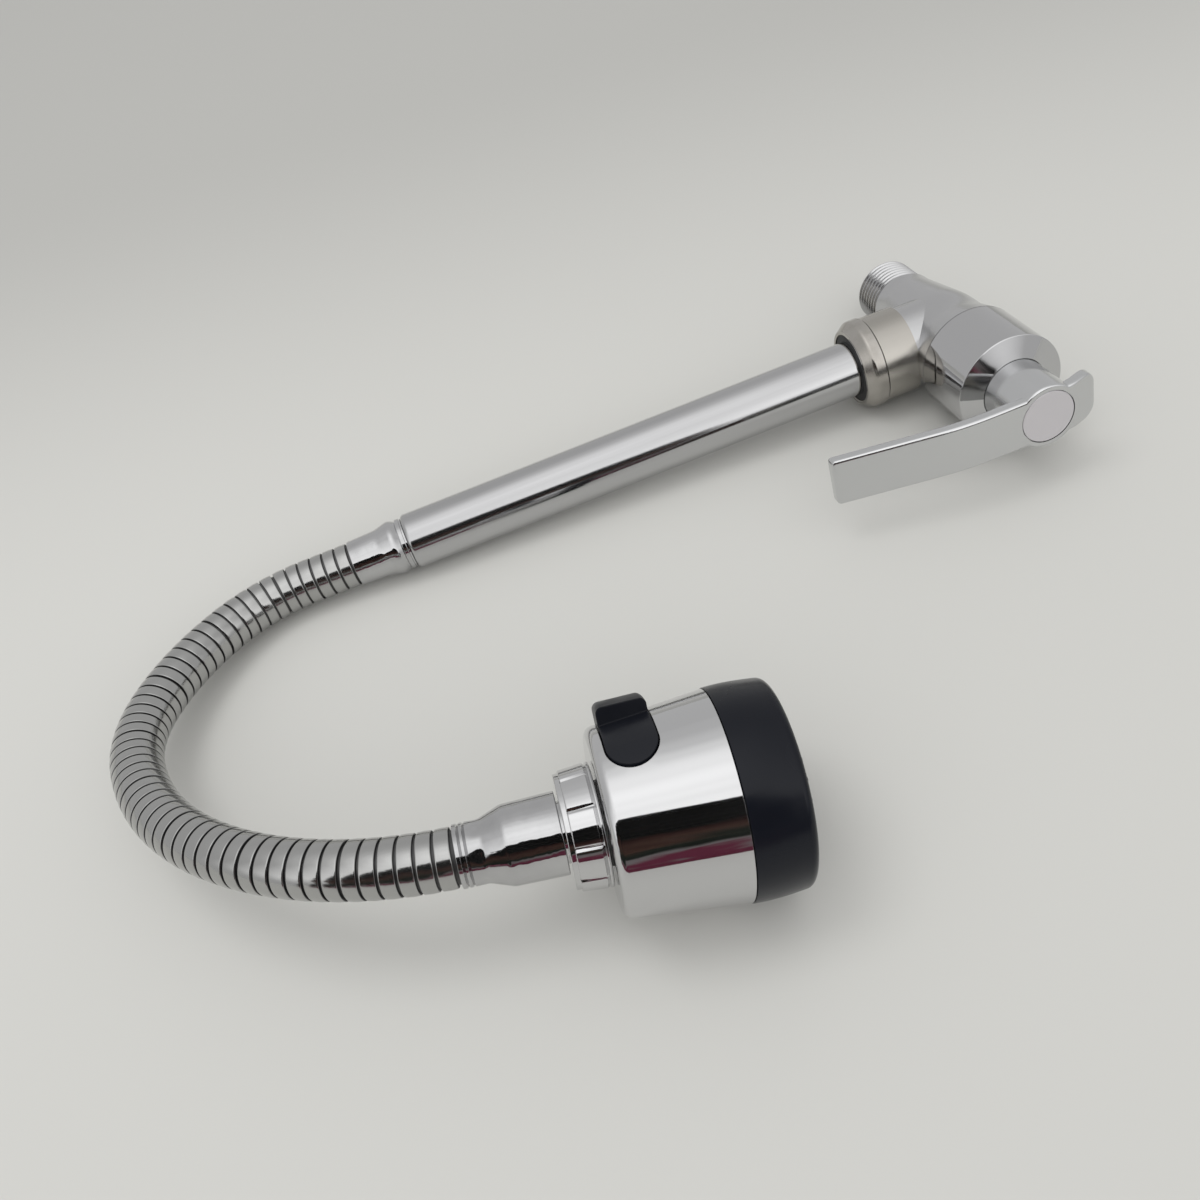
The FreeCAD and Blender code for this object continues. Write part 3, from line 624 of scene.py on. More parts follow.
def surface_marks_group():
    """Smudges, a slow wave and a fine grain of a surface, each from 0 to 1."""
    group = bpy.data.node_groups.new("surface_marks", "ShaderNodeTree")
    interface = group.interface
    interface.new_socket("Vector", in_out="INPUT", socket_type="NodeSocketVector")
    for mark, (size, detail) in surface_marks.items():
        socket = interface.new_socket(mark + " Size", in_out="INPUT", socket_type="NodeSocketFloat")
        socket.default_value = size * MM
        interface.new_socket(mark, in_out="OUTPUT", socket_type="NodeSocketFloat")
    entry = group.nodes.new("NodeGroupInput").outputs
    result = group.nodes.new("NodeGroupOutput")
    for mark, (size, detail) in surface_marks.items():
        scale = add_node(group, "Math", {0: 1, 1: entry[mark + " Size"]}, operation="DIVIDE")
        noise = add_node(group, "TexNoise", {"Vector": entry["Vector"], "Scale": scale, "Detail": detail})
        spread = add_node(group, "MapRange", {
            "Value": noise, "From Min": noise_low, "From Max": noise_high})
        set_inputs(group, result, {mark: spread})


def surface_material(name, colour, metallic, roughness, smudge, wave=0.0, grain=0.0,
                     smudge_size=12.0, wave_size=4.0, grain_size=0.3, stretch=(1, 1, 1),
                     marked=None, edge=0.0, attribute=None, shine=0.5):
    """A finish with smudged roughness, a slow wave and a fine grain. Heights and sizes are in millimetres.

    An edge rounds sharp corners for the light. An attribute takes the place of object coordinates.
    """
    tree, shader, material = new_material(name + "_finish")
    painted_with[name] = material
    set_inputs(tree, shader, {
        "Base Color": (*colour, 1), "Metallic": metallic, "Roughness": roughness,
        "Specular IOR Level": shine})
    if attribute:
        spot = add_node(tree, "Attribute", attribute_name=attribute).outputs["Vector"]
    else:
        spot = add_node(tree, "TexCoord").outputs["Object"]
    mapping = add_node(tree, "Mapping", {"Vector": spot, "Scale": stretch})
    marks = add_node(tree, "Group", {
        "Vector": mapping, "Smudge Size": smudge_size * MM, "Wave Size": wave_size * MM,
        "Grain Size": grain_size * MM,
    }, node_tree=bpy.data.node_groups["surface_marks"])
    rough = add_node(tree, "MapRange", {
        "Value": marks.outputs["Smudge"], "To Min": roughness, "To Max": roughness + smudge})
    set_inputs(tree, shader, {"Roughness": rough})
    if marked:
        tint = add_node(tree, "Mix", {
            "Factor": marks.outputs["Smudge"], "A": (*colour, 1), "B": (*marked, 1)}, data_type="RGBA")
        set_inputs(tree, shader, {"Base Color": tint})
    normal = {}
    if edge:
        bevel = add_node(tree, "Bevel", {"Radius": edge * MM}, samples=edge_samples)
        normal = {"Normal": bevel}
    for mark, height in (("Wave", wave), ("Grain", grain)):
        if height:
            bump = add_node(tree, "Bump", {
                "Height": marks.outputs[mark], "Distance": height * MM, **normal})
            normal = {"Normal": bump}
    set_inputs(tree, shader, normal)
    return material


def metal(name, colour, roughness, smudge, **marks):
    return surface_material(name, colour, 1, roughness, smudge, **marks)


def plain(name, colour, roughness, smudge, **marks):
    return surface_material(name, colour, 0, roughness, smudge, **marks)


def mixed_in(material, mask, colour, roughness):
    """Lays a second colour and roughness over a finish where the mask is 1."""
    tree = material.node_tree
    shader = tree.nodes["Principled BSDF"]
    for name, value, kind in (("Base Color", (*colour, 1), "RGBA"), ("Roughness", roughness, "FLOAT")):
        target = shader.inputs[name]
        first = target.links[0].from_socket if target.is_linked else target.default_value
        mix = add_node(tree, "Mix", {"Factor": mask, "A": first, "B": value}, data_type=kind)
        set_inputs(tree, shader, {name: mix})


def boss_mask(material):
    """1 on the valve body's round boss, by its place in the shared frame."""
    tree = material.node_tree
    spot = add_node(tree, "TexCoord").outputs["Object"]
    split = add_node(tree, "SeparateXYZ", {"Vector": spot})
    sides = []
    for axis, limit in (("Z", boss_foot), ("Y", -wall_to_spout - boss_radius)):
        above = add_node(tree, "Math", {0: split.outputs[axis], 1: (limit - mask_margin) * MM},
                         operation="GREATER_THAN")
        sides.append(above)
    return add_node(tree, "Math", {0: sides[0], 1: sides[1]}, operation="MULTIPLY")


def chrome_finishes(chrome):
    dim = tuple(value * dim_share for value in chrome)
    metal("chrome_brass", chrome, 0.035, 0.05, wave=0.006, grain=0.0003, wave_size=6)
    body = metal("chrome_body", chrome, 0.15, 0.1, wave=0.01, grain=0.0006, wave_size=7)
    mixed_in(body, boss_mask(body), satin, satin_roughness)
    metal("chrome_lever", lever_chrome, 0.12, 0.08, wave=0.01, grain=0.0006, wave_size=8)
    metal("chrome_tube", chrome, 0.06, 0.07, wave=0.006, grain=0.0003, wave_size=5,
          stretch=(1, 1, 0.06), marked=dim)
    metal("chrome_pressed", chrome, 0.045, 0.05, wave=0.02, grain=0.0005, wave_size=2.6, marked=dim)
    metal("chrome_plastic", plated_plastic, 0.035, 0.03, wave=0.012, grain=0.0002, wave_size=11,
          edge=0.15)


def hose_finishes(hose):
    """Brushed bands with painted shade in their grooves, and painted shade on the necks between the lengths.
    """
    bands = metal("hose_steel", hose, 0.1, 0.1, wave=0.006, grain=0.0012, wave_size=3, smudge_size=6,
                  grain_size=0.12, stretch=(0.06, 0.06, 1), attribute="straight",
                  marked=tuple(value * dim_hose_share for value in hose))
    # Painted shade: the grooves take a dark grey colour
    groove = add_node(bands.node_tree, "Attribute", attribute_name="groove")
    mixed_in(bands, groove.outputs["Fac"], painted_recess_shade, groove_roughness)
    # Painted shade for the necks between the hose's lengths
    metal("painted_shade_steel", painted_recess_shade, groove_roughness, 0.1, grain=0.002)


def other_finishes(black):
    metal("satin_nickel", nickel, 0.16, 0.05, wave=0.008, grain=0.001, smudge_size=8,
          marked=nickel_marks)
    surface_material("silver_cap", cap_silver, 0.5, 0.3, 0.1, grain=0.0006)
    plain("black_plastic", black, 0.16, 0.2, wave=0.006, grain=0.0006, smudge_size=18, shine=0.22)
    plain("tab_plastic", black, 0.34, 0.14, grain=0.002, smudge_size=5, edge=0.5, shine=0.3)
    plain("dark_plate", plate_grey, 0.36, 0.1, grain=0.002)
    plain("nozzle_rubber", nozzle_grey, 0.5, 0.1, grain=0.003)
    plain("aerator_plastic", aerator_grey, 0.45, 0.1, grain=0.002)
    plain("core_plastic", core_grey, 0.4, 0.1, grain=0.002)
    metal("brass", brass, 0.25, 0.12, grain=0.002)
    metal("plain_steel", steel, 0.25, 0.12, grain=0.002)
    plain("ceramic", ceramic, 0.3, 0.06, grain=0.001)
    plain("seal_rubber", seal_black, 0.55, 0.1, grain=0.004)


def make_materials(settings):
    surface_marks_group()
    chrome_finishes(tuple(settings.chrome))
    hose_finishes(tuple(settings.hose_steel))
    other_finishes(tuple(settings.black))


class TAP_OT_stage(bpy.types.Operator):
    """Sets the camera, the table and the soft light"""
    bl_idname = "tap.stage"
    bl_label = "Stage"

    def execute(self, context):
        settings = context.scene.tap_stage
        bpy.ops.object.camera_add(location=settings.camera_place, rotation=settings.camera_turn)
        camera = context.object
        camera.name = "picture_camera"
        camera.data.lens = settings.camera_lens
        camera.data.clip_start = clip_start * MM
        context.scene.camera = camera
        context.scene.view_settings.view_transform = "Standard"
        self.table(settings)
        self.lamp(settings)
        for card in dark_cards:
            self.dark_card(*card)
        self.room(context, settings)
        return {"FINISHED"}

    def on_table(self, right, far, up):
        """A point given in millimetres from under the tap's middle, in the table's own directions."""
        foot_x = table_offset + table_slope_y * tap_middle_y + table_slope_z * tap_middle_z
        foot = Vector((foot_x, tap_middle_y, tap_middle_z))
        return (foot + table_right * right + table_far * far + table_up * up) * MM

    def table(self, settings):
        """A plain table, with painted shade that darkens its far side, which can't be seen from behind."""
        bpy.ops.mesh.primitive_plane_add(size=table_width * MM)
        table = bpy.context.object
        table.name = "table"
        matrix = Matrix((table_right, table_far, table_up)).transposed().to_4x4()
        table.matrix_world = Matrix.Translation(self.on_table(0, 0, 0)) @ matrix
        tree, shader, material = new_material("table")
        split = add_node(tree, "SeparateXYZ", {"Vector": add_node(tree, "TexCoord").outputs["Object"]})
        # Painted shade: the table's colour darkens towards its far side
        painted_shade_ramp = add_node(tree, "MapRange", {
            "Value": split.outputs["Y"], "From Min": table_painted_shade_start * MM, "From Max": table_painted_shade_end * MM,
        }, interpolation_type="SMOOTHSTEP")
        colour = settings.table_colour
        painted_shade_colour = add_node(tree, "Mix", {
            "Factor": painted_shade_ramp, "A": (*colour, 1),
            "B": (*(value * table_painted_shade_share for value in colour), 1)}, data_type="RGBA")
        set_inputs(tree, shader, {
            "Base Color": painted_shade_colour, "Roughness": table_roughness, "Specular IOR Level": table_shine})
        clear = add_node(tree, "BsdfTransparent")
        side = add_node(tree, "NewGeometry").outputs["Backfacing"]
        mix = add_node(tree, "MixShader", {"Fac": side, 1: shader, 2: clear})
        set_inputs(tree, tree.nodes["Material Output"], {"Surface": mix})
        table.data.materials.append(material)

    def lamp(self, settings):
        bpy.ops.object.light_add(type="AREA", location=self.on_table(*lamp_place))
        lamp = bpy.context.object
        lamp.name = "soft_lamp"
        lamp.data.shape = "DISK"
        lamp.data.size = lamp_size * MM
        lamp.data.energy = settings.lamp_power
        lamp.visible_glossy = False
        aim = self.on_table(0, 0, 0) - lamp.location
        lamp.rotation_euler = aim.to_track_quat("-Z", "Y").to_euler()

    def dark_card(self, name, low_edge, high_edge, half_width, oval):
        """A dark card that is seen only in reflections."""
        low = self.on_table(*low_edge)
        high = self.on_table(*high_edge)
        if oval:
            bpy.ops.mesh.primitive_circle_add(vertices=oval_points, radius=1, fill_type="NGON")
            edit_all()
            bpy.ops.transform.vertex_random(offset=ragged_edge, seed=ragged_draw)
            bpy.ops.object.mode_set(mode="OBJECT")
        else:
            bpy.ops.mesh.primitive_plane_add(size=2)
        card = bpy.context.object
        card.name = name
        rise = (high - low) / 2
        normal = table_right.cross(rise).normalized()
        spread = Matrix((table_right * half_width * MM, rise, normal)).transposed().to_4x4()
        card.data.transform(Matrix.Translation((low + high) / 2) @ spread)
        card.data.materials.append(self.card_material(name, low, high))
        card.visible_camera = False
        card.visible_diffuse = False
        card.visible_shadow = False
        card.visible_transmission = False

    def card_material(self, name, low, high):
        """Uneven dark bands, from the low edge to the high edge."""
        tree, shader, material = new_material(name)
        along = (high - low) / (high - low).length_squared
        spot = add_node(tree, "TexCoord").outputs["Object"]
        share = add_node(tree, "VectorMath", {0: spot, 1: along}, operation="DOT_PRODUCT")
        fold = add_node(tree, "TexNoise", {"Vector": spot, "Scale": fold_scale, "Detail": fold_detail})
        height = add_node(tree, "Math", {
            0: fold, 1: fold_depth, 2: -low.dot(along) - fold_depth / 2}, operation="MULTIPLY_ADD")
        total = add_node(tree, "Math", {0: share, 1: height})
        bands = add_node(tree, "ValToRGB", {"Fac": total})
        fill_ramp(bands, card_bands)
        set_inputs(tree, shader, {"Base Color": bands, "Roughness": 1, "Specular IOR Level": 0})
        return material

    def room(self, context, settings):
        """A pale room that is brightest overhead, with a glow on the near side above the table."""
        world = bpy.data.worlds.new("room")
        context.scene.world = world
        world.use_nodes = True
        tree = world.node_tree
        spot = add_node(tree, "TexCoord").outputs["Generated"]
        up, far = (
            add_node(tree, "VectorMath", {0: spot, 1: axis}, operation="DOT_PRODUCT")
            for axis in (table_up, table_far))
        grey = add_node(tree, "ValToRGB", {"Fac": up})
        grey.color_ramp.interpolation = "EASE"
        fill_ramp(grey, [(position, (level, level, level)) for position, level in room_greys])
        near = add_node(tree, "MapRange", {"Value": far, "From Min": 0, "From Max": near_glow_full})
        raised = add_node(tree, "MapRange", {
            "Value": up, "From Min": glow_rise_start, "From Max": glow_rise_end})
        glow = add_node(tree, "Math", {0: near, 1: raised}, operation="MULTIPLY")
        total = add_node(tree, "Mix", {"Factor": 1, "A": grey, "B": glow},
                         data_type="RGBA", blend_type="ADD")
        background = tree.nodes["Background"]
        set_inputs(tree, background, {"Color": total, "Strength": settings.room_light})
        seen = add_node(tree, "Background", {"Color": (*backdrop, 1)})
        camera_ray = add_node(tree, "LightPath").outputs["Is Camera Ray"]
        mix = add_node(tree, "MixShader", {"Fac": camera_ray, 1: background, 2: seen})
        set_inputs(tree, tree.nodes["World Output"], {"Surface": mix})


class TAP_OT_bonnet(bpy.types.Operator):
    """Models the bonnet cover with its bright front edge"""
    bl_idname = "tap.bonnet"
    bl_label = "Bonnet cover"

    def execute(self, context):
        inner = bonnet_radius - bonnet_wall
        front = bonnet_end + bonnet_cone_length
        bonnet = turned("bonnet", [
            (inner, bonnet_start),
            (bonnet_radius, bonnet_start, fine_edge),
            (bonnet_radius, bonnet_end, soft_edge),
            (bonnet_hole_radius, front, crisp_edge),
            (bonnet_hole_radius, front - bonnet_wall),
            (inner, bonnet_end - bonnet_wall),
        ], fine_columns)
        finish_piece(bonnet, on_body_axis, "chrome_brass")
        stand_for(bonnet, "valve", "bonnet_cover")
        return {"FINISHED"}


class TAP_OT_spout_nut(bpy.types.Operator):
    """Models the short rounded nut that holds the spout tube"""
    bl_idname = "tap.spout_nut"
    bl_label = "Spout nut"

    def execute(self, context):
        mouth_floor = nut_top - nut_mouth_depth
        inner_top = nut_top - nut_top_wall
        nut = turned("tube_nut", [
            (nut_bore, nut_foot),
            (nut_radius, nut_foot, soft_edge),
            (nut_radius, nut_top - nut_rim_height, nut_rim_curve),
            (nut_radius - nut_rim_step, nut_top, soft_edge),
            (nut_mouth_radius, nut_top, crisp_edge),
            (nut_mouth_radius, mouth_floor),
            (tube_radius + nut_tube_gap, mouth_floor),
            (tube_radius + nut_tube_gap, inner_top),
            (nut_bore, inner_top),
        ], fine_columns)
        finish_piece(nut, on_spout_axis, "satin_nickel")
        stand_for(nut, "valve", "spout_nut")
        return {"FINISHED"}


class TAP_OT_spout(bpy.types.Operator):
    """Models the spout tube and the beaded ferrule on its end"""
    bl_idname = "tap.spout"
    bl_label = "Spout tube and ferrule"

    def execute(self, context):
        tube = turned("tube", [
            (tube_bore, tube_foot),
            (tube_radius, tube_foot, round_edge),
            (tube_radius, tube_top, tube_shoulder),
            (tube_bore, tube_top),
        ], fine_columns, tube_shoulder_steps)
        finish_piece(tube, on_spout_axis, "chrome_tube")
        stand_for(tube, "spout", "spout_tube")
        plug_foot = tube_top - ferrule_plug_length
        ferrule = turned("tube_ferrule", [
            (ferrule_bore, plug_foot),
            (ferrule_plug_radius, plug_foot),
            (ferrule_plug_radius, tube_top),
            (ferrule_seat_radius, tube_top),
            (ferrule_seat_radius, ferrule_ring_start),
            (ferrule_ring_radius, ferrule_ring_start, fine_edge),
            (ferrule_ring_radius, ferrule_ring_end, fine_edge),
            (ferrule_groove_radius, ferrule_groove),
            (ferrule_bead_radius, ferrule_bead, ferrule_bead_curve),
            (ferrule_neck_radius, ferrule_neck, ferrule_neck_curve),
            (ferrule_top_radius, ferrule_top, fine_edge),
            (ferrule_bore, ferrule_top),
        ])
        finish_piece(ferrule, on_spout_axis, "chrome_pressed")
        stand_for(ferrule, "spout", "upper_ferrule")
        return {"FINISHED"}


class TAP_OT_lever(bpy.types.Operator):
    """Models the lever from its bent strip and its hub, and the cap that closes the hub"""
    bl_idname = "tap.lever"
    bl_label = "Lever and cap"

    def face_place(self, height, depth):
        """How far from the wall a face of the strip stands at a height."""
        bend, angle, radius = arm_bend_height, arm_bend_angle, arm_bend_radius
        if height < 0:
            bend, angle, radius = tail_bend_height, tail_bend_angle, tail_bend_radius
        height = abs(height)
        corner = bend - depth * math.tan(angle / 2)
        curve = radius + arm_thickness - depth
        past = height - corner + curve * math.tan(angle / 2)
        front = hub_front - depth
        if past <= 0:
            return front
        if past < curve * math.sin(angle):
            return front - curve + math.sqrt(curve ** 2 - past ** 2)
        return front - (height - corner) * math.tan(angle)

    def half_width(self, height):
        """Half the strip's width at a height, narrowed by the rounded corners of its ends."""
        if height > 0:
            corner, left = arm_tip_corner, arm_tip - height
        else:
            corner, left = tail_corner, tail_tip + height
        if left >= corner:
            return arm_half_width
        return arm_half_width - corner + math.sqrt(corner ** 2 - (corner - left) ** 2)

    def heights(self):
        """Where the strip is sliced: close together in its corners and bends."""
        def into_corner(step):
            return 1 - math.cos(math.pi / 2 * step / corner_slices)

        steps = range(corner_slices + 1)
        places = [-tail_tip + tail_corner * into_corner(step) for step in steps]
        places += [tail_slice_start + tail_slice_step * step for step in range(tail_slices)]
        places += [0.0]
        places += [arm_slice_start + arm_slice_step * step for step in range(arm_slices)]
        places += [arm_tip - arm_tip_corner * into_corner(step) for step in reversed(steps)]
        return places

    def strip(self, edge):
        """The strip, grown slice by slice from a small rounded rectangle, with rounded ends."""
        slices = []
        for height in self.heights():
            front = self.face_place(height, 0)
            rear = self.face_place(height, arm_thickness)
            left = min(arm_tip - height, tail_tip + height)
            inset = edge - math.sqrt(edge ** 2 - max(edge - left, 0) ** 2)
            slices.append((height, -(front + rear) / 2, self.half_width(height), front - rear - 2 * inset))
        height, middle, half, thickness = slices[0]
        bpy.ops.object.select_all(action="DESELECT")
        bpy.ops.mesh.primitive_plane_add(size=1, location=(0, middle * MM, height * MM))
        strip = bpy.context.object
        strip.name = "lever"
        edit_all()
        centre = (0, middle * MM, height * MM)
        bpy.ops.transform.resize(value=(2 * half * MM, thickness * MM, 1), center_override=centre)
        bpy.ops.mesh.bevel(offset=edge * thickness / arm_thickness * MM, segments=5, affect="VERTICES")
        for before, after in zip(slices, slices[1:]):
            move = (0, (after[1] - before[1]) * MM, (after[0] - before[0]) * MM)
            bpy.ops.mesh.extrude_region_move(TRANSFORM_OT_translate={"value": move})
            growth = (after[2] / before[2], after[3] / before[3], 1)
            bpy.ops.transform.resize(value=growth, center_override=(0, after[1] * MM, after[0] * MM))
        bpy.ops.mesh.select_all(action="SELECT")
        bpy.ops.mesh.normals_make_consistent(inside=False)
        bpy.ops.object.mode_set(mode="OBJECT")
        return strip

    def execute(self, context):
        size = context.scene.tap_size
        edge = size.lever_edge / MM
        lever = self.strip(edge)
        hub = turned("hub", [
            (0, hub_rear),
            (hub_radius, hub_rear),
            (hub_radius, hub_front, edge),
            (0, hub_front),
        ], fine_columns)
        finish_piece(hub, on_body_axis, "chrome_lever")
        cut_or_join(lever, hub, "UNION")
        seat = hub_front - cap_thickness
        recess = turned("recess", [
            (0, seat),
            (cap_radius + cap_gap, seat),
            (cap_radius + cap_gap, hub_front + cut_past),
            (0, hub_front + cut_past),
        ], fine_columns)
        finish_piece(recess, on_body_axis, "chrome_lever")
        cut_or_join(lever, recess, "DIFFERENCE")
        clean_cuts(lever)
        finish_piece(lever, Matrix(), "chrome_lever", lever_smooth_angle)
        stand_for(lever, "handle", "lever_handle")
        cap = turned("cap", [
            (0, seat),
            (cap_radius, seat),
            (cap_radius, hub_front, plain_edge),
            (0, hub_front),
        ], fine_columns)
        finish_piece(cap, on_body_axis, "silver_cap")
        stand_for(cap, "handle", "index_cap")
        return {"FINISHED"}


class TAP_OT_hose(bpy.types.Operator):
    """Models the hose's banded lengths along its route, and the necks between them, painted dark as shade"""
    bl_idname = "tap.hose"
    bl_label = "Hose"

    def straight_length(self, edge):
        """One length of the hose, straight, with its bands and grooves."""
        pitch = (section_length + rib_groove) / section_ribs
        outline = [(hose_bore_radius, 0)]
        for rib in range(section_ribs):
            low = pitch * rib
            high = low + pitch - rib_groove
            outline += [
                (hose_groove_radius, low),
                (hose_radius - rib_crown, low, edge),
                (hose_radius, (low + high) / 2),
                (hose_radius - rib_crown, high, edge),
                (hose_groove_radius, high),
            ]
        outline.append((hose_bore_radius, outline[-1][1]))
        return turned("hose_length", outline, hose_columns, rib_steps)

    def neck(self, number):
        """The neck in the gap before a length, painted dark as shade, bent along the route there."""
        half = neck_slices // 2
        outline = [(hose_bore_radius, -neck_reach), (neck_radius, -neck_reach)]
        outline += [(neck_radius, joint_gap * share / neck_slices) for share in range(-half, half + 1)]
        outline += [(neck_radius, neck_reach), (hose_bore_radius, neck_reach)]
        neck = turned("hose_neck_%d" % number, outline, hose_columns)
        middle = hose_start + joint_gap / 2 + section_pitch * (number - 1)
        bend_to_route(neck, middle)
        # The neck's dark grey is painted shade in the gap
        finish_piece(neck, Matrix(), "painted_shade_steel")
        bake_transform(neck)

    def execute(self, context):
        straight = self.straight_length(context.scene.tap_size.rib_edge / MM)
        for number in range(1, hose_sections + 1):
            piece = straight.copy()
            piece.data = straight.data.copy()
            piece.name = "hose_length_%d" % number
            context.scene.collection.objects.link(piece)
            bend_to_route(piece, hose_start + joint_gap + section_pitch * (number - 1))
            finish_piece(piece, Matrix(), "hose_steel", rib_smooth_angle)
            stand_for(piece, "hose_%d" % number, "hose_section_%d" % number)
        select_only(straight)
        bpy.ops.object.delete()
        for number in range(1, hose_sections + 2):
            self.neck(number)
        return {"FINISHED"}


class TAP_OT_head_fittings(bpy.types.Operator):
    """Models the ferrule and the panelled nut behind the spray head"""
    bl_idname = "tap.head_fittings"
    bl_label = "Head fittings"

    def ferrule(self):
        outline = [(hose_bore_radius, head_ferrule_start), (sleeve_radius, head_ferrule_start, crisp_edge)]
        for number in range(1, sleeve_grooves + 1):
            groove = head_ferrule_start + sleeve_groove_pitch * number
            outline += [
                (sleeve_radius, groove - sleeve_groove_depth),
                (sleeve_radius - sleeve_groove_depth, groove),
                (sleeve_radius, groove + sleeve_groove_depth),
            ]
        outline += [(sleeve_radius, dent_middle + dent_ring_step * ring) for ring in range(-dent_rings, 0)]
        outline += [
            (sleeve_radius, sleeve_flare_start, sleeve_flare_curve),
            (sleeve_shoulder_radius, sleeve_flare_end, sleeve_flare_curve),
            (sleeve_end_radius, sleeve_end, soft_edge),
            (sleeve_spigot_radius, sleeve_end),
            (sleeve_spigot_radius, sleeve_spigot_end),
            (hose_bore_radius, sleeve_spigot_end),
        ]
        ferrule = turned("head_sleeve", outline, fine_columns)
        self.press_dents(ferrule)
        finish_piece(ferrule, on_head_axis, "chrome_pressed")
        stand_for(ferrule, "hose_end", "head_ferrule")

    def press_dents(self, ferrule):
        """Presses the soft dents that hold the hose, all round the ferrule's outside."""
        for vertex in ferrule.data.vertices:
            distance = math.hypot(vertex.co.x, vertex.co.y)
            if distance < hose_groove_radius * MM:
                continue
            near = math.exp(-((vertex.co.z / MM - dent_middle) / dent_length) ** 2)
            press = 0.5 + 0.5 * math.cos(dents * math.atan2(vertex.co.y, vertex.co.x))
            vertex.co.xy *= 1 - dent_depth * MM * near * press ** 2 / distance

    def collar(self):
        collar = turned("panel_nut", [
            (collar_hole_radius, head_nut_rear),
            (collar_rear_radius - collar_lip_step, head_nut_rear, soft_edge),
            (collar_rear_radius - collar_lip_step, collar_lip),
            (collar_rear_radius + panel_rise, collar_lip, plain_edge),
            (collar_front_radius - panel_fall, rim_groove - rim_groove_rear),
            (collar_front_radius - rim_groove_depth, rim_groove),
            (collar_front_radius, rim_groove + rim_groove_front, crisp_edge),
            (collar_front_radius, head_nut_front, round_edge),
            (collar_thread_radius, head_nut_front),
            (collar_thread_radius, collar_floor),
            (collar_hole_radius, collar_floor),
        ], nut_columns, collar_steps)
        self.cut_panels(collar)
        finish_piece(collar, on_head_axis, "chrome_plastic", collar_smooth_angle)
        stand_for(collar, "spray_head", "collar_nut")

    def cut_panels(self, collar):
        """Draws in the columns between the nut's panels, as V-shaped grooves."""
        spacing = nut_columns // nut_panels
        turn = 2 * math.pi / nut_columns
        for vertex in collar.data.vertices:
            column = (round(math.atan2(vertex.co.y, vertex.co.x) / turn) + panel_turn) % spacing
            offset = min(column, spacing - column)
            distance = math.hypot(vertex.co.x, vertex.co.y)
            outside = distance > (collar_rear_radius - panel_margin) * MM
            behind_rim = vertex.co.z / MM < rim_groove - panel_margin
            if offset < panel_groove_columns and outside and behind_rim:
                depth = panel_groove_depth / 2 * (1 + math.cos(math.pi * offset / panel_groove_columns))
                vertex.co.xy *= 1 - depth * MM / distance

    def execute(self, context):
        self.ferrule()
        self.collar()
        return {"FINISHED"}


class TAP_OT_face_ring(bpy.types.Operator):
    """Models the glossy black ring round the spray face"""
    bl_idname = "tap.face_ring"
    bl_label = "Face ring"

    def execute(self, context):
        inner = plate_radius + plate_gap
        ring = turned("black_ring", [
            (inner, face_ring_plug_end),
            (face_ring_plug_radius, face_ring_plug_end),
            (face_ring_plug_radius, face_ring_start),
            (face_ring_rear_radius, face_ring_start, fine_edge),
            (face_ring_crown_radius, face_ring_crown, face_ring_side_curve),
            (face_ring_fall_radius, face_ring_fall, face_ring_side_curve),
            (face_ring_end_radius, face_ring_end, face_ring_end_curve),
            (inner, face_ring_end),
        ], ring_columns, face_ring_steps)
        finish_piece(ring, on_head_axis, "black_plastic")
        stand_for(ring, "spray_head", "face_ring")
        return {"FINISHED"}


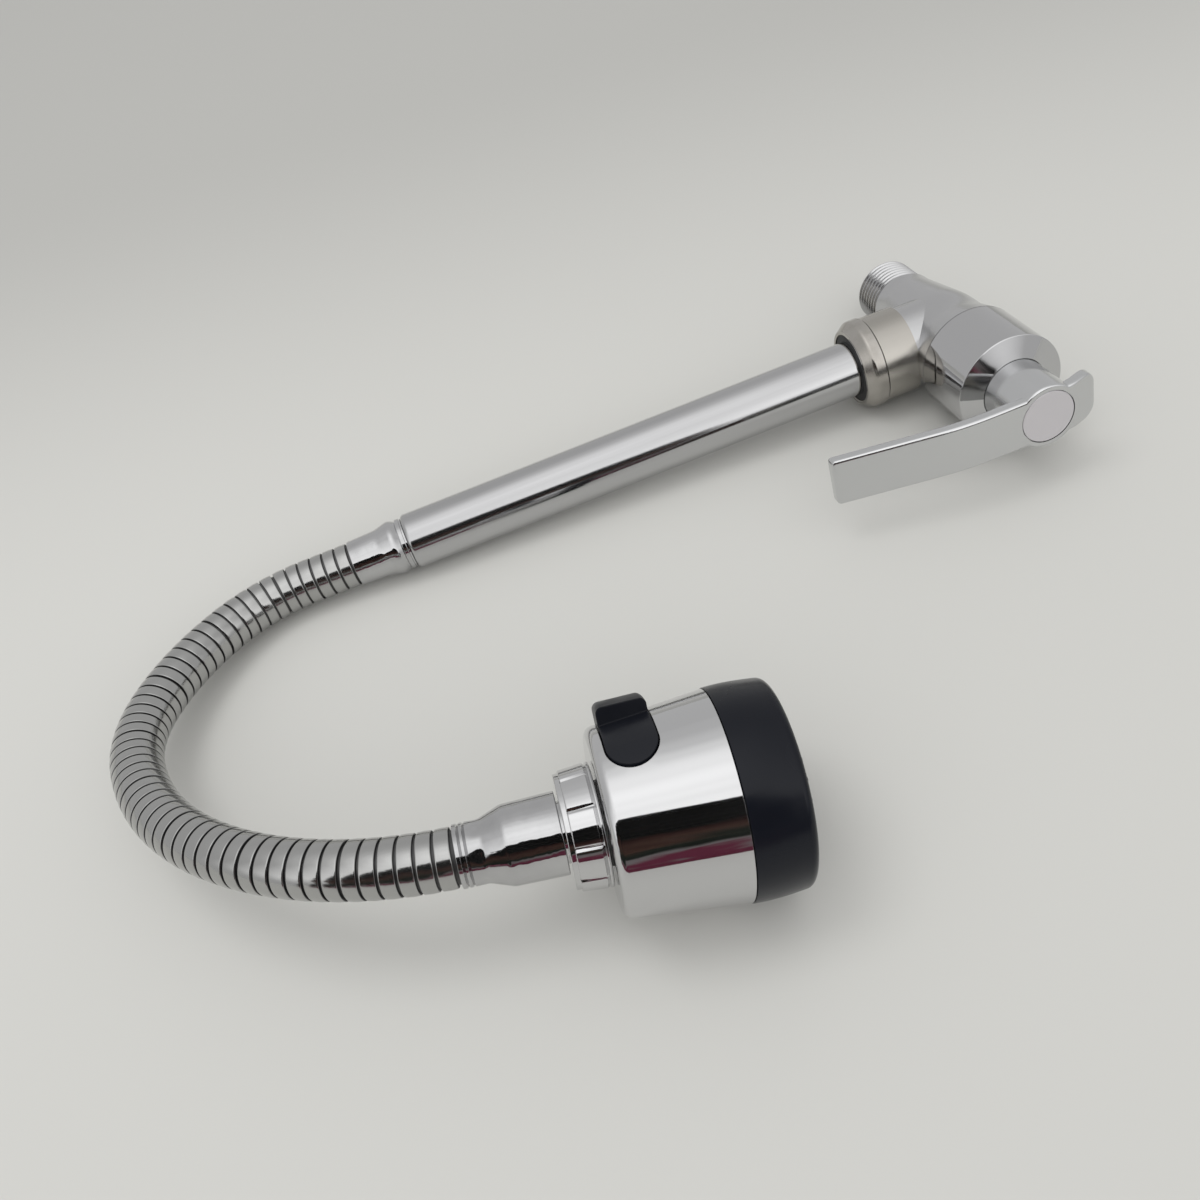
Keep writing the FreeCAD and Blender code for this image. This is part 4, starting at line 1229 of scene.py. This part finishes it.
class TAP_OT_carried_parts(bpy.types.Operator):
    """Gives every piece that keeps its built shape its finish"""
    bl_idname = "tap.carried_parts"
    bl_label = "Carried parts"

    def execute(self, context):
        finishes = {
            "chrome_body": ("valve_body",),
            "chrome_brass": ("bonnet_cover", "lever_handle"),
            "chrome_tube": ("spout_tube",),
            "chrome_pressed": ("upper_ferrule", "head_ferrule"),
            "chrome_plastic": ("collar_nut", "head_shell", "aerator_ring"),
            "satin_nickel": ("spout_nut",),
            "silver_cap": ("index_cap",),
            "plain_steel": ("handle_screw", "spindle_circlip", "tube_retainer"),
            "brass": ("headwork_housing", "spindle"),
            "ceramic": ("fixed_disc", "moving_disc"),
            "seal_rubber": ("seat_seal", "headwork_gasket", "tube_bush", "spindle_o_rings", "tube_o_rings",
                            "swivel_washer", "core_o_ring"),
            "core_plastic": ("head_core", "diverter_sleeve"),
            "black_plastic": ("face_ring",),
            "tab_plastic": ("selector_tab",),
            "dark_plate": ("face_plate",),
            "nozzle_rubber": ("nozzle_pad",),
            "aerator_plastic": ("aerator_insert",),
            "hose_steel": ["hose_section_%d" % number for number in range(1, hose_sections + 1)],
        }
        finish_of = {node: finish for finish, nodes in finishes.items() for node in nodes}
        for name, node in frame["nodes"].items():
            node.data.materials.clear()
            node.data.materials.append(painted_with[finish_of[name]])
        return {"FINISHED"}


class TAP_PT_panel(bpy.types.Panel):
    """Lists the tap's pieces and its stage"""
    bl_idname = "TAP_PT_panel"
    bl_label = "Bendable wall tap"
    bl_space_type = "VIEW_3D"
    bl_region_type = "UI"
    bl_category = "Tap"

    def draw(self, context):
        for operator in operators:
            self.layout.operator(operator.bl_idname)


settings_groups = {
    "tap_stage": TapStageSettings,
    "tap_finish": TapFinishSettings,
    "tap_size": TapSizeSettings,
}
operators = (
    TAP_OT_stage,
    TAP_OT_carried_parts,
    TAP_OT_bonnet,
    TAP_OT_spout_nut,
    TAP_OT_spout,
    TAP_OT_lever,
    TAP_OT_hose,
    TAP_OT_head_fittings,
    TAP_OT_face_ring,
)


def register():
    for name, group in settings_groups.items():
        bpy.utils.register_class(group)
        setattr(bpy.types.Scene, name, bpy.props.PointerProperty(type=group))
    for operator in operators:
        bpy.utils.register_class(operator)
    bpy.utils.register_class(TAP_PT_panel)


def unregister():
    bpy.utils.unregister_class(TAP_PT_panel)
    for operator in reversed(operators):
        bpy.utils.unregister_class(operator)
    for name, group in settings_groups.items():
        delattr(bpy.types.Scene, name)
        bpy.utils.unregister_class(group)


def main():
    register()
    make_materials(bpy.context.scene.tap_finish)
    for operator in operators:
        step = operator.bl_idname.split(".")[1]
        getattr(bpy.ops.tap, step)()


if __name__ == "__main__":
    main()
